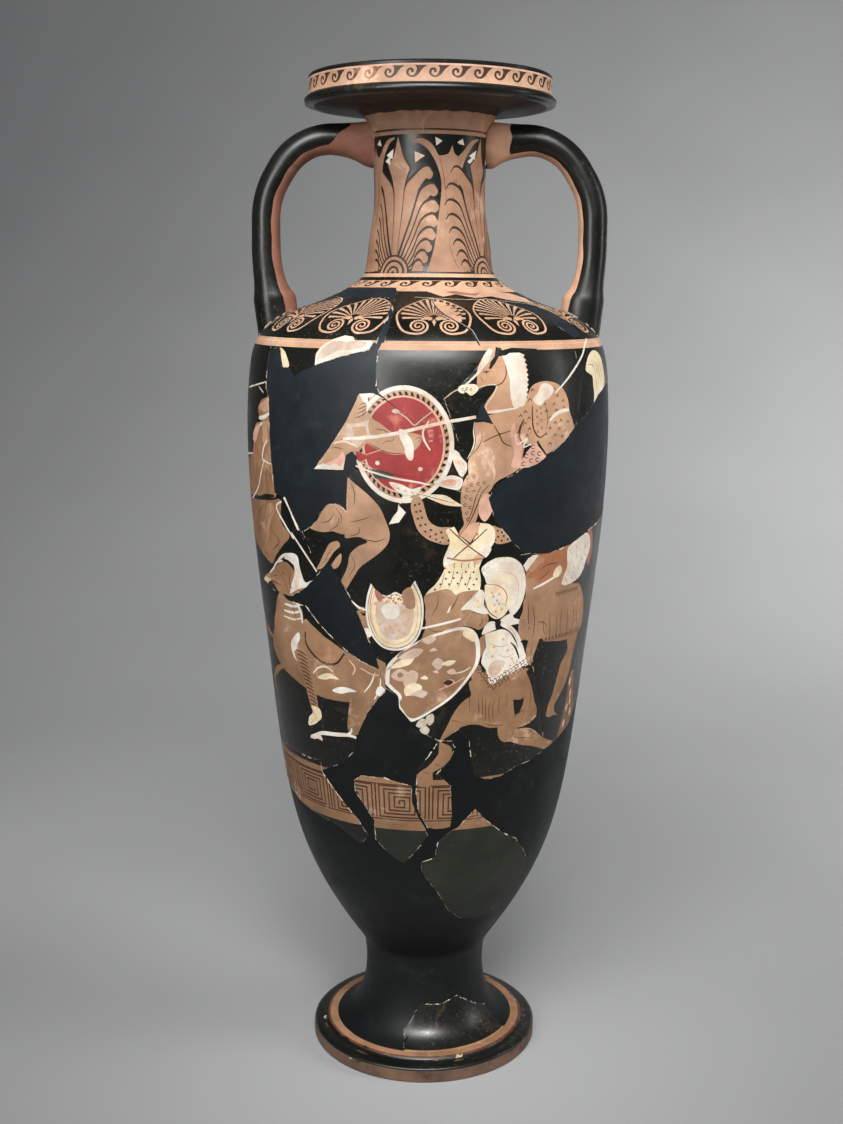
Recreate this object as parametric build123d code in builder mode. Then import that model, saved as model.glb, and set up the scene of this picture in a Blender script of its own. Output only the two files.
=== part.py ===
"""A tall two-handled red-figure amphora, rebuilt from fired-clay sherds and modern fills.

Units are millimetres.  +Z is up and the origin is the middle of the underside of the foot.
-Y is the front and +X the side of the right handle.  An azimuth is counted in degrees from the
front, towards the right handle.  Every outline on the wall is a list of (azimuth, height) points.
"""
import os
from math import cos, hypot, radians, sin

from build123d import *

# ---------------------------------------------------------------- driving dimensions
TOTAL_HEIGHT = 880.0
WALL = 7.0                      # thickness of the thrown wall
BODY_FOOT = 95.0                # height where the body grows out of the stem
SHOULDER = 660.0                # height where the body turns into the shoulder
NECK_FOOT = 703.0               # height of the break round the root of the neck
NECK_TOP = 833.0                # height where the mouth is joined to the neck
THROAT_RADIUS = 40.0            # true cylinder inside the neck
THROAT_FOOT = 716.0             # height where that cylinder opens into the body
FOOT_RADIUS = 105.2
FOOT_RING_HEIGHT = 18.0
FLOOR_THICKNESS = 12.0          # clay between the body and the hollow of the foot
HANDLE_THICKNESS = 25.0         # across the oval, in the plane of the handles
HANDLE_WIDTH = 32.0             # across the oval, front to back
REACH = 260.0                   # longer than any radius of the vessel

# (radius, height) down the outside of the wall
BODY = [(57.0, BODY_FOOT), (85.6, 140), (114.3, 200), (132.7, 280), (144.4, 380),
        (155.4, 480), (160.6, 575), (158.1, 630), (150.0, SHOULDER)]
SHOULDER_SLOPE = [(150.0, SHOULDER), (139.0, 672), (119.6, 683), (91.0, 693), (69.5, 704),
                  (58.8, 712)]
NECK = [(58.8, 712), (53.9, 733), (49.2, 764), (48.3, 793), (51.0, NECK_TOP)]
MOUTH_OUTSIDE = [(51.0, NECK_TOP), (54.5, 844), (64.0, 851.5), (104.0, 855.0), (108.4, 857.5),
                 (108.0, 860.5), (105.7, 862.5), (104.4, TOTAL_HEIGHT)]
MOUTH_INSIDE = [(97.0, TOTAL_HEIGHT), (94.0, 876), (66.0, 864), (47.0, 850),
                (THROAT_RADIUS, NECK_TOP)]
STEM = [(84.0, FOOT_RING_HEIGHT), (70.0, 26), (60.5, 42), (56.3, 60), (55.5, 78),
        (57.0, BODY_FOOT)]
STEM_HOLLOW = [(78.0, FOOT_RING_HEIGHT), (59.0, 30), (46.0, 55)]

# corners and corner radii of a handle's centre line, in the plane of the handles
HANDLE_LINE = [(44.0, 829.0), (113.0, 829.0), (142.5, 780.0), (143.0, 728.0), (136.0, 668.0)]
HANDLE_BENDS = [52.0, 70.0, 200.0]


def outer_radius(height):
    """Radius of the outside of the wall at a height, from the profile points."""
    profile = STEM[:-1] + BODY + SHOULDER_SLOPE[1:]
    for (low_radius, low), (high_radius, high) in zip(profile, profile[1:]):
        if height <= high:
            share = (height - low) / (high - low)
            return low_radius + max(share, 0) * (high_radius - low_radius)
    return profile[-1][0]


def inset(profile, depth):
    """Move each profile point into the wall, square to the surface there."""
    moved = []
    last = len(profile) - 1
    for i, (radius, height) in enumerate(profile):
        before = profile[max(i - 1, 0)]
        after = profile[min(i + 1, last)]
        run_r, run_h = after[0] - before[0], after[1] - before[1]
        length = hypot(run_r, run_h)
        moved.append((radius - depth * run_h / length, height + depth * run_r / length))
    return moved


def facing_plane(azimuth):
    """Upright plane through the axis whose normal points out at the azimuth."""
    a = radians(azimuth)
    return Plane(origin=(0, 0, 0), x_dir=(cos(a), sin(a), 0), z_dir=(sin(a), -cos(a), 0))


def elevation(outline, facing):
    """Points of an outline as they stand on the facing plane."""
    return [(outer_radius(h) * sin(radians(az - facing)), h) for az, h in outline]


# ---------------------------------------------------------------- shapes used to cut the pieces
with BuildPart() as whole_wall:
    with BuildSketch(Plane.XZ):
        with BuildLine():
            body_inside = inset(BODY, WALL)
            Spline(*BODY)
            Spline(*SHOULDER_SLOPE)
            Spline(*NECK)
            Line((51.0, NECK_TOP), (THROAT_RADIUS, NECK_TOP))
            Line((THROAT_RADIUS, NECK_TOP), (THROAT_RADIUS, THROAT_FOOT))
            Spline((THROAT_RADIUS, THROAT_FOOT), (62.0, 698.5), (90.0, 684.0), (118.0, 674.5),
                   (133.0, 666.0), body_inside[-1])
            Spline(*reversed([(49.5, BODY_FOOT)] + body_inside[1:]))
            Line((49.5, BODY_FOOT), BODY[0])
        make_face()
    revolve(axis=Axis.Z)

with BuildPart() as whole_mouth:
    with BuildSketch(Plane.XZ):
        with BuildLine():
            Spline(*MOUTH_OUTSIDE[:3])
            Polyline(*MOUTH_OUTSIDE[2:])
            Line(MOUTH_OUTSIDE[-1], MOUTH_INSIDE[0])
            Line(MOUTH_INSIDE[0], MOUTH_INSIDE[1])
            Spline(*MOUTH_INSIDE[1:])
            Line(MOUTH_INSIDE[-1], MOUTH_OUTSIDE[0])
        make_face()
    revolve(axis=Axis.Z)

with BuildPart() as whole_stem:
    with BuildSketch(Plane.XZ):
        with BuildLine():
            Spline(*STEM)
            Polyline(STEM[-1], (0, BODY_FOOT), (0, BODY_FOOT - FLOOR_THICKNESS),
                     (36.0, BODY_FOOT - FLOOR_THICKNESS), STEM_HOLLOW[2])
            Spline(*reversed(STEM_HOLLOW))
            Line(STEM_HOLLOW[0], STEM[0])
        make_face()
    revolve(axis=Axis.Z)

with BuildPart() as pot_core:
    with BuildSketch(Plane.XZ):
        with BuildLine():
            Polyline((0, NECK_TOP), (0, BODY_FOOT), BODY[0])
            Spline(*BODY)
            Spline(*SHOULDER_SLOPE)
            Spline(*NECK)
            Line(NECK[-1], (0, NECK_TOP))
        make_face()
    revolve(axis=Axis.Z)
    add(whole_mouth.part)


def course(wall, low, high):
    """The ring of a wall between two heights."""
    with BuildPart() as ring:
        add(wall)
        with BuildSketch(Plane.XY.offset(low)):
            Circle(REACH)
        extrude(amount=high - low, mode=Mode.INTERSECT)
    return ring.part


def cutter(outline, facing):
    """Prism that stands on the facing plane and reaches out past the wall."""
    with BuildPart() as prism:
        with BuildSketch(facing_plane(facing)):
            with BuildLine():
                Polyline(*elevation(outline, facing), close=True)
            make_face()
        extrude(amount=REACH)
    return prism.part


def level_cutter(outline):
    """Upright prism over an outline seen from above, through the whole shoulder."""
    points = [(r * sin(radians(az)), -r * cos(radians(az))) for az, r in outline]
    with BuildPart() as prism:
        with BuildSketch(Plane.XY.offset(SHOULDER - WALL)):
            with BuildLine():
                Polyline(*points, close=True)
            make_face()
        extrude(amount=NECK_FOOT - SHOULDER + 2 * WALL)
    return prism.part


# ---------------------------------------------------------------- outlines of sherds and fills
# name: (azimuth that the piece faces, outline).  An outline may run on under a piece that is
# listed before it, because a piece only gets what the earlier pieces have left of the wall.
# The shoulder is nearly level, so its outlines are (azimuth, radius) points seen from above.
SHOULDER_PIECES = {
    "shoulder_fill": [
        (-88, 62), (-55, 62), (-24, 68), (-19, 80), (-17, 104), (-13.5, 122), (-13, 140),
        (-14, 160), (-16.5, 160), (-15.5, 145), (-15, 127), (-18, 106), (-21, 101), (-25, 94),
        (-33, 101), (-37, 118), (-42, 99), (-56, 93), (-72, 91), (-88, 92)],
    "shoulder_left_sherd": [
        (0, 0), (-124, 90), (-127, 200), (-90, REACH), (-50, REACH), (-15, 200), (-14.2, 135),
        (-16.2, 114), (-19, 102), (-21, 86), (-25, 66)],
    "shoulder_front_sherd": [
        (0, 0), (-30, 200), (10, REACH), (45, REACH), (66, 200), (63, 120), (67, 80)],
    "shoulder_right_sherd": [
        (0, 0), (50, 200), (90, REACH), (126, 200), (122, 110), (128, 75)],
    "shoulder_back_sherd": [
        (0, 0), (110, REACH), (140, REACH), (180, REACH), (220, REACH), (250, REACH)],
}

BODY_PIECES = {
    "upper_left_fill": (-36, [
        (-59, 651), (-55, 653.5), (-52.5, 652), (-49.5, 638), (-46, 638), (-44, 632), (-35.5, 641),
        (-27, 648.5), (-18, 654.5), (-16.5, 662), (-14, 662), (-15, 653), (-15.3, 638), (-15, 627),
        (-14, 621), (-8, 607), (-13, 617), (-16, 621), (-20, 620), (-24, 598), (-29, 578),
        (-35, 558), (-25, 559), (-24, 572), (-22, 574.5), (-20.5, 570), (-21.5, 560),
        (-23.7, 553), (-24.3, 525), (-26.5, 531), (-31, 530), (-37, 510), (-41.5, 503),
        (-46, 522), (-48, 531), (-53.7, 533), (-55, 562), (-56.4, 611), (-58.5, 620)]),
    "centre_left_fill": (-32, [
        (-52, 441), (-49, 446.5), (-42, 455), (-36, 469), (-31.5, 483), (-28.5, 472), (-25, 457),
        (-21.5, 437), (-19, 420), (-16.5, 405), (-15.5, 393.5), (-21, 398), (-28, 408.5),
        (-37, 427), (-42, 440)]),
    "upper_right_fill": (56, [
        (17.8, 538), (20.5, 550), (28, 560), (33, 563), (44, 580), (50, 594), (56, 601),
        (64, 615), (74, 623), (88, 624), (97, 600), (101, 552), (92, 520), (80, 508), (63, 501),
        (50, 492), (40, 487.5), (31, 489.5), (26, 501), (20, 519)]),
    "meander_left_sherd": (-60, [
        (-96, 302), (-42, 300), (-42, 291), (-36, 275), (-32, 265), (-27, 253), (-23, 238),
        (-27, 229), (-38, 243), (-60, 250), (-78, 258), (-90, 280)]),
    "meander_centre_sherd": (-14, [
        (-27, 290), (-24, 295.5), (-15, 296), (-5, 290), (-5, 275), (-3, 262), (0, 250),
        (1, 243), (-4, 227), (-9, 214), (-14, 221), (-20, 236), (-20, 255), (-27, 280)]),
    "shin_sherd": (2, [
        (4.5, 332), (1, 318), (-3, 305), (-3.5, 283), (-2.5, 265), (1, 251), (4, 249.5),
        (9.5, 251), (10, 262), (9, 290), (4, 302), (8.5, 314), (10, 325), (9, 331)]),
    "lower_gloss_sherd": (30, [
        (12.5, 250), (19, 266.5), (23, 256), (32, 239), (40, 229), (50, 207), (58, 182),
        (66, 168), (56, 159), (40, 151), (30, 146.5), (20, 150), (12, 162), (6, 183),
        (-1, 204), (-2, 216), (4, 221), (5, 236), (8, 244)]),
    "top_left_sherd": (-38, [
        (-59.5, 667), (-15.7, 667), (-16.5, 650), (-30, 600), (-50, 600), (-58.5, 640)]),
    "shield_sherd": (-8, [
        (-16.2, 667), (24, 667), (21, 655), (14, 642), (10, 630), (4.5, 617), (9, 580),
        (10.5, 560), (9, 546), (1, 550), (-4, 553), (-9, 556), (-15, 560.5), (-20.5, 567),
        (-22, 565), (-24, 556), (-37, 553), (-40, 590), (-22, 640), (-15.8, 640)]),
    "horse_rider_sherd": (32, [
        (-2, 667), (51, 667), (52, 630), (49, 590), (40, 540), (18.5, 541), (8, 545), (0, 560)]),
    "wing_sherd": (84, [
        (48, 667), (116, 667), (118, 610), (112, 556), (95, 556), (60, 580), (48, 580)]),
    "left_figure_sherd": (-80, [
        (-116, 667), (-54, 667), (-57, 640), (-50, 560), (-42, 508), (-40, 500), (-38, 488),
        (-37, 466), (-40, 452), (-51, 441), (-70, 452), (-92, 446), (-118, 458), (-122, 560)]),
    "lower_left_horse_sherd": (-62, [
        (-112, 480), (-60, 480), (-42, 447), (-25, 415), (-14, 394), (-13, 377), (-16, 368),
        (-20, 355), (-24, 335), (-27, 315), (-31, 305), (-42, 292), (-42, 301), (-96, 301),
        (-116, 318), (-112, 380)]),
    "centre_sherd": (4, [
        (-36, 440), (-45, 468), (-46, 540), (-42, 590), (-10, 590), (14, 575), (40, 550),
        (34, 490), (31, 489.5), (23, 488.5), (17, 478), (16, 461), (13, 441), (9, 432), (0, 424),
        (-10, 410), (-17, 403), (-25, 410)]),
    "kneeling_warrior_sherd": (16, [
        (-24, 395), (-24, 470), (0, 520), (26, 520), (34, 490), (32, 468), (33, 435), (37, 412),
        (38, 390), (43, 356),
        (46, 330), (49, 309), (41, 303), (34, 300), (28, 294), (22, 293.5), (18, 298),
        (16.3, 312), (15, 330), (11, 341), (5, 331), (0, 337), (-4, 345), (-9, 360),
        (-10.5, 372), (-13.3, 377), (-15, 394)]),
    "right_figure_sherd": (76, [
        (28, 510), (118, 570), (114, 480), (118, 400), (112, 346), (92, 338), (75, 338),
        (67, 322), (56, 313), (49, 309), (44, 308), (30, 350), (28, 420)]),
    "back_fill": (180, [
        (158, 556), (172, 592), (192, 574), (206, 542), (201, 492), (212, 450), (193, 428),
        (171, 444), (155, 470), (163, 516)]),
    "back_upper_sherd": (180, [
        (104, 667), (256, 667), (258, 598), (236, 580), (206, 542), (180, 500), (160, 540),
        (130, 588), (102, 610)]),
    "back_right_sherd": (150, [
        (98, 640), (140, 640), (180, 560), (183, 440), (186, 382), (178, 300), (160, 322),
        (146, 326), (128, 306), (108, 330), (98, 400)]),
    "back_left_sherd": (214, [
        (168, 560), (230, 640), (264, 640), (266, 400), (256, 316), (238, 304), (222, 322),
        (204, 300), (190, 312), (180.5, 302), (176, 340), (168, 440)]),
}

STEM_PIECES = {
    "foot_gloss_sherd": (22, [
        (-16, 30), (-8, 45), (-2, 52), (15, 51), (32, 56), (50, 44), (66, 36), (64, 10),
        (-10, 10)]),
}


def share_out(wall, cutters):
    """Cut the named pieces out of a wall one after another, and return them with the rest."""
    made = {}
    rest = wall
    for name, prism in cutters.items():
        with BuildPart() as piece:
            add(rest)
            add(prism, mode=Mode.INTERSECT)
        with BuildPart() as left_over:
            add(rest)
            add(prism, mode=Mode.SUBTRACT)
        made[name] = piece.part
        rest = left_over.part
    return made, rest


def front_half(wall, facing):
    """The half of a wall that faces an azimuth."""
    with BuildPart() as half:
        add(wall)
        with BuildSketch(facing_plane(facing)):
            with Locations((0, TOTAL_HEIGHT / 2)):
                Rectangle(2 * REACH, TOTAL_HEIGHT + 2 * WALL)
        extrude(amount=REACH, mode=Mode.INTERSECT)
    return half.part


# ---------------------------------------------------------------- mouth, neck and foot
with BuildPart() as mouth:
    add(whole_mouth.part)

with BuildPart() as neck:
    add(course(whole_wall.part, NECK_FOOT, NECK_TOP))

with BuildPart() as foot_ring:
    with BuildSketch(Plane.XZ):
        with BuildLine():
            Polyline((88.0, 0), (FOOT_RADIUS - 1.2, 0), (FOOT_RADIUS, 1.2), (FOOT_RADIUS, 11.5),
                     (103.6, 13.5), (98.0, 14.5), (93.5, 14.6), (92.6, 17.0), (90.0, 17.8),
                     (86.0, FOOT_RING_HEIGHT), (78.0, FOOT_RING_HEIGHT), (84.0, 6.0), close=True)
        make_face()
    revolve(axis=Axis.Z)

# ---------------------------------------------------------------- handles
with BuildPart() as handle_right:
    with BuildLine(Plane.XZ) as handle_line:
        FilletPolyline(*HANDLE_LINE, radius=HANDLE_BENDS)
    with BuildSketch(Plane(origin=(HANDLE_LINE[0][0], 0, HANDLE_LINE[0][1]), x_dir=(0, 1, 0),
                           z_dir=(1, 0, 0))):
        Ellipse(HANDLE_WIDTH / 2, HANDLE_THICKNESS / 2)
    sweep(path=handle_line.wires()[0])
    add(pot_core.part, mode=Mode.SUBTRACT)

with BuildPart() as handle_left:
    add(handle_right.part.mirror(Plane.YZ))

# ---------------------------------------------------------------- shoulder, body and stem
shoulder_cutters = {name: level_cutter(line) for name, line in SHOULDER_PIECES.items()}
body_cutters = {name: cutter(line, facing) for name, (facing, line) in BODY_PIECES.items()}
stem_cutters = {name: cutter(line, facing) for name, (facing, line) in STEM_PIECES.items()}
shoulder_made, shoulder_rest = share_out(course(whole_wall.part, SHOULDER, NECK_FOOT),
                                         shoulder_cutters)
body_made, lower_fill = share_out(course(whole_wall.part, BODY_FOOT, SHOULDER), body_cutters)
stem_made, stem_rest = share_out(whole_stem.part, stem_cutters)

with BuildPart() as lower_front_fill:
    add(front_half(lower_fill, 0))

with BuildPart() as lower_back_fill:
    add(front_half(lower_fill, 180))

with BuildPart() as stem_fill:
    add(stem_rest)

# ---------------------------------------------------------------- labels and files
named_parts = {
    "mouth": mouth.part,
    "neck": neck.part,
    "handle_left": handle_left.part,
    "handle_right": handle_right.part,
    "lower_front_fill": lower_front_fill.part,
    "lower_back_fill": lower_back_fill.part,
    "stem_fill": stem_fill.part,
    "foot_ring": foot_ring.part,
}
named_parts.update(shoulder_made)
named_parts.update(body_made)
named_parts.update(stem_made)

os.makedirs("parts", exist_ok=True)
for name, part in named_parts.items():
    part.label = name
    export_step(part, f"parts/{name}.step")

if __name__ == "__main__":
    print("nodes", len(named_parts))
    print("shoulder wall left over", round(shoulder_rest.volume, 1), "mm3")
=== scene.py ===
"""The looks of a restored red-figure amphora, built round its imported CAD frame.

The wall is one surface of revolution.  Everything painted or broken on it is an outline, drawn in
(azimuth in degrees, height in millimetres) and laid on a flat chart of the wall, where later outlines
cover earlier ones.  One triangulation cuts the chart along all outlines; its triangles are lifted onto
the wall and shared out between the sherds and the modern fills, each of which becomes a closed solid.
"""
import math
import random

import bpy
import numpy as np
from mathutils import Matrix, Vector
from mathutils.geometry import delaunay_2d_cdt


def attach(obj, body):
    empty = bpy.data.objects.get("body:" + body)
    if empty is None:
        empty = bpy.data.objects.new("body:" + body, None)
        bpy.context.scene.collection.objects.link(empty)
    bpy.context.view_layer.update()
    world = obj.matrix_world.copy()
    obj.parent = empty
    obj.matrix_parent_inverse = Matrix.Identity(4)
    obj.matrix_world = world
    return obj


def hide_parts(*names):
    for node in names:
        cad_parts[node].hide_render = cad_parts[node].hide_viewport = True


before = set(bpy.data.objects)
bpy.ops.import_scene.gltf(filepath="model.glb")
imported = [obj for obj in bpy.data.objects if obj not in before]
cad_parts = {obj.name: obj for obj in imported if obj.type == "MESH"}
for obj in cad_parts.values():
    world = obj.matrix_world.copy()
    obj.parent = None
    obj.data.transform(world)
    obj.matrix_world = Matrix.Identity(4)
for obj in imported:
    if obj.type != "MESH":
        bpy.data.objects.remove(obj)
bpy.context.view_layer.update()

MM = 0.001
GIRTH = 150 * math.pi / 180         # chart millimetres to a degree, at a radius of 150 mm
SEAM = -122.0                       # azimuth where the chart begins, in the black behind the handle
GRID = 5.5                          # spacing of the points that keep the wall round
STEP = 5.0                          # longest stretch of outline laid on the wall in one piece
WALL_THICKNESS = 7.0
PER_SPAN = 24                       # points of a spline between two given ones
SMOOTH_STEP = 3.0                   # spacing of the points on a figure's smooth edge
PETAL_POINTS = 10                   # points along a petal's middle line
DOT_SIDES = 7
FULL_WIDTH_AFTER = 1.6              # how fast a brush line swells from its ends
GRAIN, MOTTLE = 320.0, 38.0         # noise scales of the clay's grain and of its mottling


def new_object(name, data):
    """An object in the scene that shows the given mesh, lamp or camera."""
    thing = bpy.data.objects.new(name, data)
    bpy.context.scene.collection.objects.link(thing)
    return thing


# ------------------------------------------------------------------ profiles
def natural_spline(points):
    """Points along a natural cubic spline through the given ones, by chord length."""
    p = np.array(points, float)
    if len(p) == 2:
        return p[0] + np.linspace(0, 1, PER_SPAN + 1)[:, None] * (p[1] - p[0])
    u = np.concatenate([[0], np.cumsum(np.hypot(*np.diff(p, axis=0).T))])
    h = np.diff(u)
    n = len(p)
    a = np.eye(n)
    b = np.zeros((n, 2))
    for i in range(1, n - 1):
        a[i, i - 1:i + 2] = h[i - 1], 2 * (h[i - 1] + h[i]), h[i]
        b[i] = 6 * ((p[i + 1] - p[i]) / h[i] - (p[i] - p[i - 1]) / h[i - 1])
    m = np.linalg.solve(a, b)
    out = []
    for i in range(n - 1):
        s = np.linspace(0, 1, PER_SPAN, endpoint=False)[:, None]
        low, high = (1 - s) * h[i], s * h[i]
        out.append(m[i] * low ** 3 / (6 * h[i]) + m[i + 1] * high ** 3 / (6 * h[i])
                   + (p[i] / h[i] - m[i] * h[i] / 6) * low
                   + (p[i + 1] / h[i] - m[i + 1] * h[i] / 6) * high)
    return np.vstack(out + [p[-1:]])


class Profile:
    """The outline that is turned round the axis: runs of (radius, height), smooth within a run."""

    def __init__(self, *runs):
        self.runs = []
        start = 0.0
        for run in runs:
            line = natural_spline(run)
            length = np.concatenate([[0], np.cumsum(np.hypot(*np.diff(line, axis=0).T))]) + start
            tangent = np.gradient(line, length, axis=0)
            tangent /= np.hypot(*tangent.T)[:, None]
            self.runs.append((length, line, tangent))
            start = length[-1]
        self.length = start

    def run_at(self, t):
        """Index of the run that holds a length."""
        for i, (length, _, _) in enumerate(self.runs):
            if t <= length[-1]:
                return i
        return len(self.runs) - 1

    def at(self, t, run=None):
        """Radius, height and outward normal (radial, upward) at lengths along the outline."""
        length, line, tangent = self.runs[self.run_at(np.mean(t)) if run is None else run]
        r = np.interp(t, length, line[:, 0])
        z = np.interp(t, length, line[:, 1])
        tr = np.interp(t, length, tangent[:, 0])
        tz = np.interp(t, length, tangent[:, 1])
        norm = np.hypot(tr, tz)
        return r, z, tz / norm, -tr / norm

    def t_at(self, height):
        """Length along the first run, which rises, at a height."""
        length, line, _ = self.runs[0]
        return float(np.interp(height, line[:, 1], length))


WALL_POINTS = [(84.0, 18), (70.0, 26), (60.5, 42), (56.3, 60), (55.5, 78), (56.7, 92), (57.7, 96.5),
               (61.4, 103), (85.6, 140), (114.3, 200), (132.7, 280), (144.4, 380), (155.4, 480),
               (160.6, 575), (158.1, 630), (150.0, 660), (139.0, 672), (119.6, 683), (91.0, 693),
               (69.5, 704), (58.8, 712), (53.9, 733), (49.2, 764), (48.3, 793), (51.0, 833)]
STEM_TOP, SHOULDER, NECK_FOOT, NECK_TOP = 95.0, 660.0, 703.0, 833.0
FLOOR_FOOT, THROAT_RADIUS = 83.0, 40.0
THROAT_START, THROAT_BLEND = 690, 26    # where the inside starts to narrow, and over what height
FILL_SUNK, EDGE_DROP = 0.35, 0.25       # how deep a fill lies, and the rounding of a sherd's edge
wall = Profile(WALL_POINTS)


def chart(points):
    """(azimuth, height) points as chart points."""
    return [(az * GIRTH, wall.t_at(h)) for az, h in points]


# ------------------------------------------------------------------ drawing on the chart
def curve(points, closed=False, step=2.0):
    """A smooth line through a few points (a centripetal Catmull-Rom curve)."""
    p = [Vector(q).to_3d() for q in points]
    n = len(p)
    out = []
    spans = n if closed else n - 1
    for i in range(spans):
        if closed:
            a, b, c, d = (p[(i + k - 1) % n] for k in range(4))
        else:
            b, c = p[i], p[i + 1]
            a = p[i - 1] if i else b + (b - c)
            d = p[i + 2] if i + 2 < n else c + (c - b)
        t1 = max((b - a).length, 1e-6) ** 0.5
        t2 = t1 + max((c - b).length, 1e-6) ** 0.5
        t3 = t2 + max((d - c).length, 1e-6) ** 0.5
        count = max(2, int((c - b).length / step) + 1)
        for k in range(count):
            t = t1 + (t2 - t1) * k / count
            a1 = a.lerp(b, t / t1)
            a2 = b.lerp(c, (t - t1) / (t2 - t1))
            a3 = c.lerp(d, (t - t2) / (t3 - t2))
            b1 = a1.lerp(a2, t / t2)
            b2 = a2.lerp(a3, (t - t1) / (t3 - t1))
            out.append(tuple(b1.lerp(b2, (t - t1) / (t2 - t1)))[:2])
    if not closed:
        out.append(tuple(p[-1])[:2])
    return out


def split_long(points):
    """A closed outline with its long stretches divided, so that it lies down on the round wall."""
    out = []
    for a, b in zip(points, points[1:] + points[:1]):
        n = max(1, math.ceil(math.dist(a, b) / STEP))
        out += [(a[0] + (b[0] - a[0]) * k / n, a[1] + (b[1] - a[1]) * k / n) for k in range(n)]
    return out


def ribbon(line, widths):
    """Outline of a brush stroke along a line of points, with a width at each."""
    pts = [Vector(p) for p in line]
    left, right = [], []
    for i, p in enumerate(pts):
        along = pts[min(i + 1, len(pts) - 1)] - pts[max(i - 1, 0)]
        if along.length < 1e-9:
            continue
        side = Vector((-along.y, along.x)).normalized() * widths[i] / 2
        left.append(tuple(p + side))
        right.append(tuple(p - side))
    return right + left[::-1]


class Painting:
    """Outlines in painting order, each with the name of its material."""

    def __init__(self):
        self.layers = []

    def outlines(self):
        """The outlines alone."""
        return [outline for outline, _ in self.layers]

    def colour_of(self, marks):
        """Material names for marks made by Sheet.mark; where nothing is painted, black gloss."""
        return np.array([colour for _, colour in self.layers] + ["gloss"])[marks]

    def fill(self, points, colour):
        """An area with corners, in chart points."""
        self.layers.append((split_long([tuple(p) for p in points]), colour))

    def line(self, points, width, colour, taper):
        """A brush line of one width in chart millimetres, its ends drawn out by the taper."""
        n = len(points) - 1
        inward = [min(i, n - i) / max(n, 1) * 2 for i in range(n + 1)]      # 0 at the ends, 1 halfway
        widths = [width * (1 - taper * (1 - min(1.0, FULL_WIDTH_AFTER * k))) for k in inward]
        self.fill(ribbon(points, widths), colour)


class Pen:
    """Draws on the wall in (azimuth, height), as it stands or turned round to another place."""

    def __init__(self, painting, turn=0.0, flip=False, lift=0.0):
        self.painting = painting
        self.turn, self.sign, self.lift = turn, -1 if flip else 1, lift

    def put(self, points):
        """Chart points of a figure's points at the place where this pen draws it."""
        return chart([(self.turn + self.sign * az, h + self.lift) for az, h in points])

    def smooth(self, points):
        """A smooth open edge, still in (azimuth, height)."""
        flat = curve([(az * GIRTH, h) for az, h in points], step=SMOOTH_STEP)
        return [(x / GIRTH, h) for x, h in flat]

    def area(self, points, colour):
        """A straight-edged area."""
        self.painting.fill(self.put(points), colour)

    def blob(self, points, colour):
        """A smooth-edged area."""
        self.painting.fill(curve(self.put(points), closed=True), colour)

    def line(self, points, colour, width=0.9, taper=0.5):
        """A smooth brush line."""
        self.painting.line(curve(self.put(points)), width, colour, taper)

    def shape(self, colour, *edges):
        """An area whose outline is made of smooth edges that meet at corners."""
        self.area([point for edge in edges for point in self.smooth(edge)], colour)

    def fold(self, points, width=0.9, taper=0.5):
        """A brown inner line of a figure."""
        self.line(points, "brown", width, taper)

    def dots(self, points, colour, size=1.4):
        """Round dots."""
        for x, t in self.put(points):
            self.painting.fill([(x + size * math.cos(a), t + size * math.sin(a)) for a in
                                np.linspace(0, 2 * math.pi, DOT_SIDES, endpoint=False)], colour)

    def rings(self, points, colour, size=1.4):
        """Small open rings."""
        for x, t in self.put(points):
            loop = [(x + size * math.cos(a), t + size * math.sin(a))
                    for a in np.linspace(0.4, 5.6, 9)]
            self.painting.line(loop, 0.32 * size + 0.25, colour, 0.2)


body_paint = Painting()
pen = Pen(body_paint)


# ------------------------------------------------------------------ ornament
def t_at_radius(radius):
    """Chart length of a radius on the shoulder."""
    length, line, _ = wall.runs[0]
    slope = (line[:, 1] > SHOULDER - 12) & (line[:, 1] < NECK_FOOT + 14)
    return float(np.interp(-radius, -line[slope, 0], length[slope]))


def plan(points):
    """(azimuth, radius) points on the shoulder as chart points."""
    return [(az * GIRTH, t_at_radius(r)) for az, r in points]


def band(painting, low, high, colour, start=SEAM, end=SEAM + 360):
    """A painted band between two chart lengths."""
    painting.fill([(start * GIRTH, low), (end * GIRTH, low), (end * GIRTH, high),
                   (start * GIRTH, high)], colour)


def bezier(a, b, c):
    """A quadratic curve from a to c that leans towards b."""
    return [tuple((1 - s) ** 2 * Vector(a) + 2 * s * (1 - s) * Vector(b) + s * s * Vector(c))
            for s in np.linspace(0, 1, PETAL_POINTS)]


def petal(base, lean, tip, narrow, wide):
    """A curved petal that widens to a round tip."""
    line = bezier(base, lean, tip)
    widths = [narrow + (wide - narrow) * (i / (PETAL_POINTS - 1)) ** 1.1
              for i in range(PETAL_POINTS)]
    outline = ribbon(line, widths)
    end = Vector(line[-1])
    along = (end - Vector(line[-2])).normalized()
    side = Vector((-along.y, along.x)) * wide / 2
    cap = [tuple(end + side * math.cos(a) * -1 + along * wide / 2 * math.sin(a))
           for a in np.linspace(0.3, math.pi - 0.3, 5)]
    return outline[:PETAL_POINTS] + cap + outline[PETAL_POINTS:]


def spiral(centre, radius, turns, start, clockwise, per_turn):
    """Points of a spiral that winds into its centre."""
    count = int(per_turn * turns)
    return [(centre[0] + radius * (1 - 0.93 * k / count) * math.cos(start + clockwise * a),
             centre[1] + radius * (1 - 0.93 * k / count) * math.sin(start + clockwise * a))
            for k, a in enumerate(np.linspace(0, 2 * math.pi * turns, count))]


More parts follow.
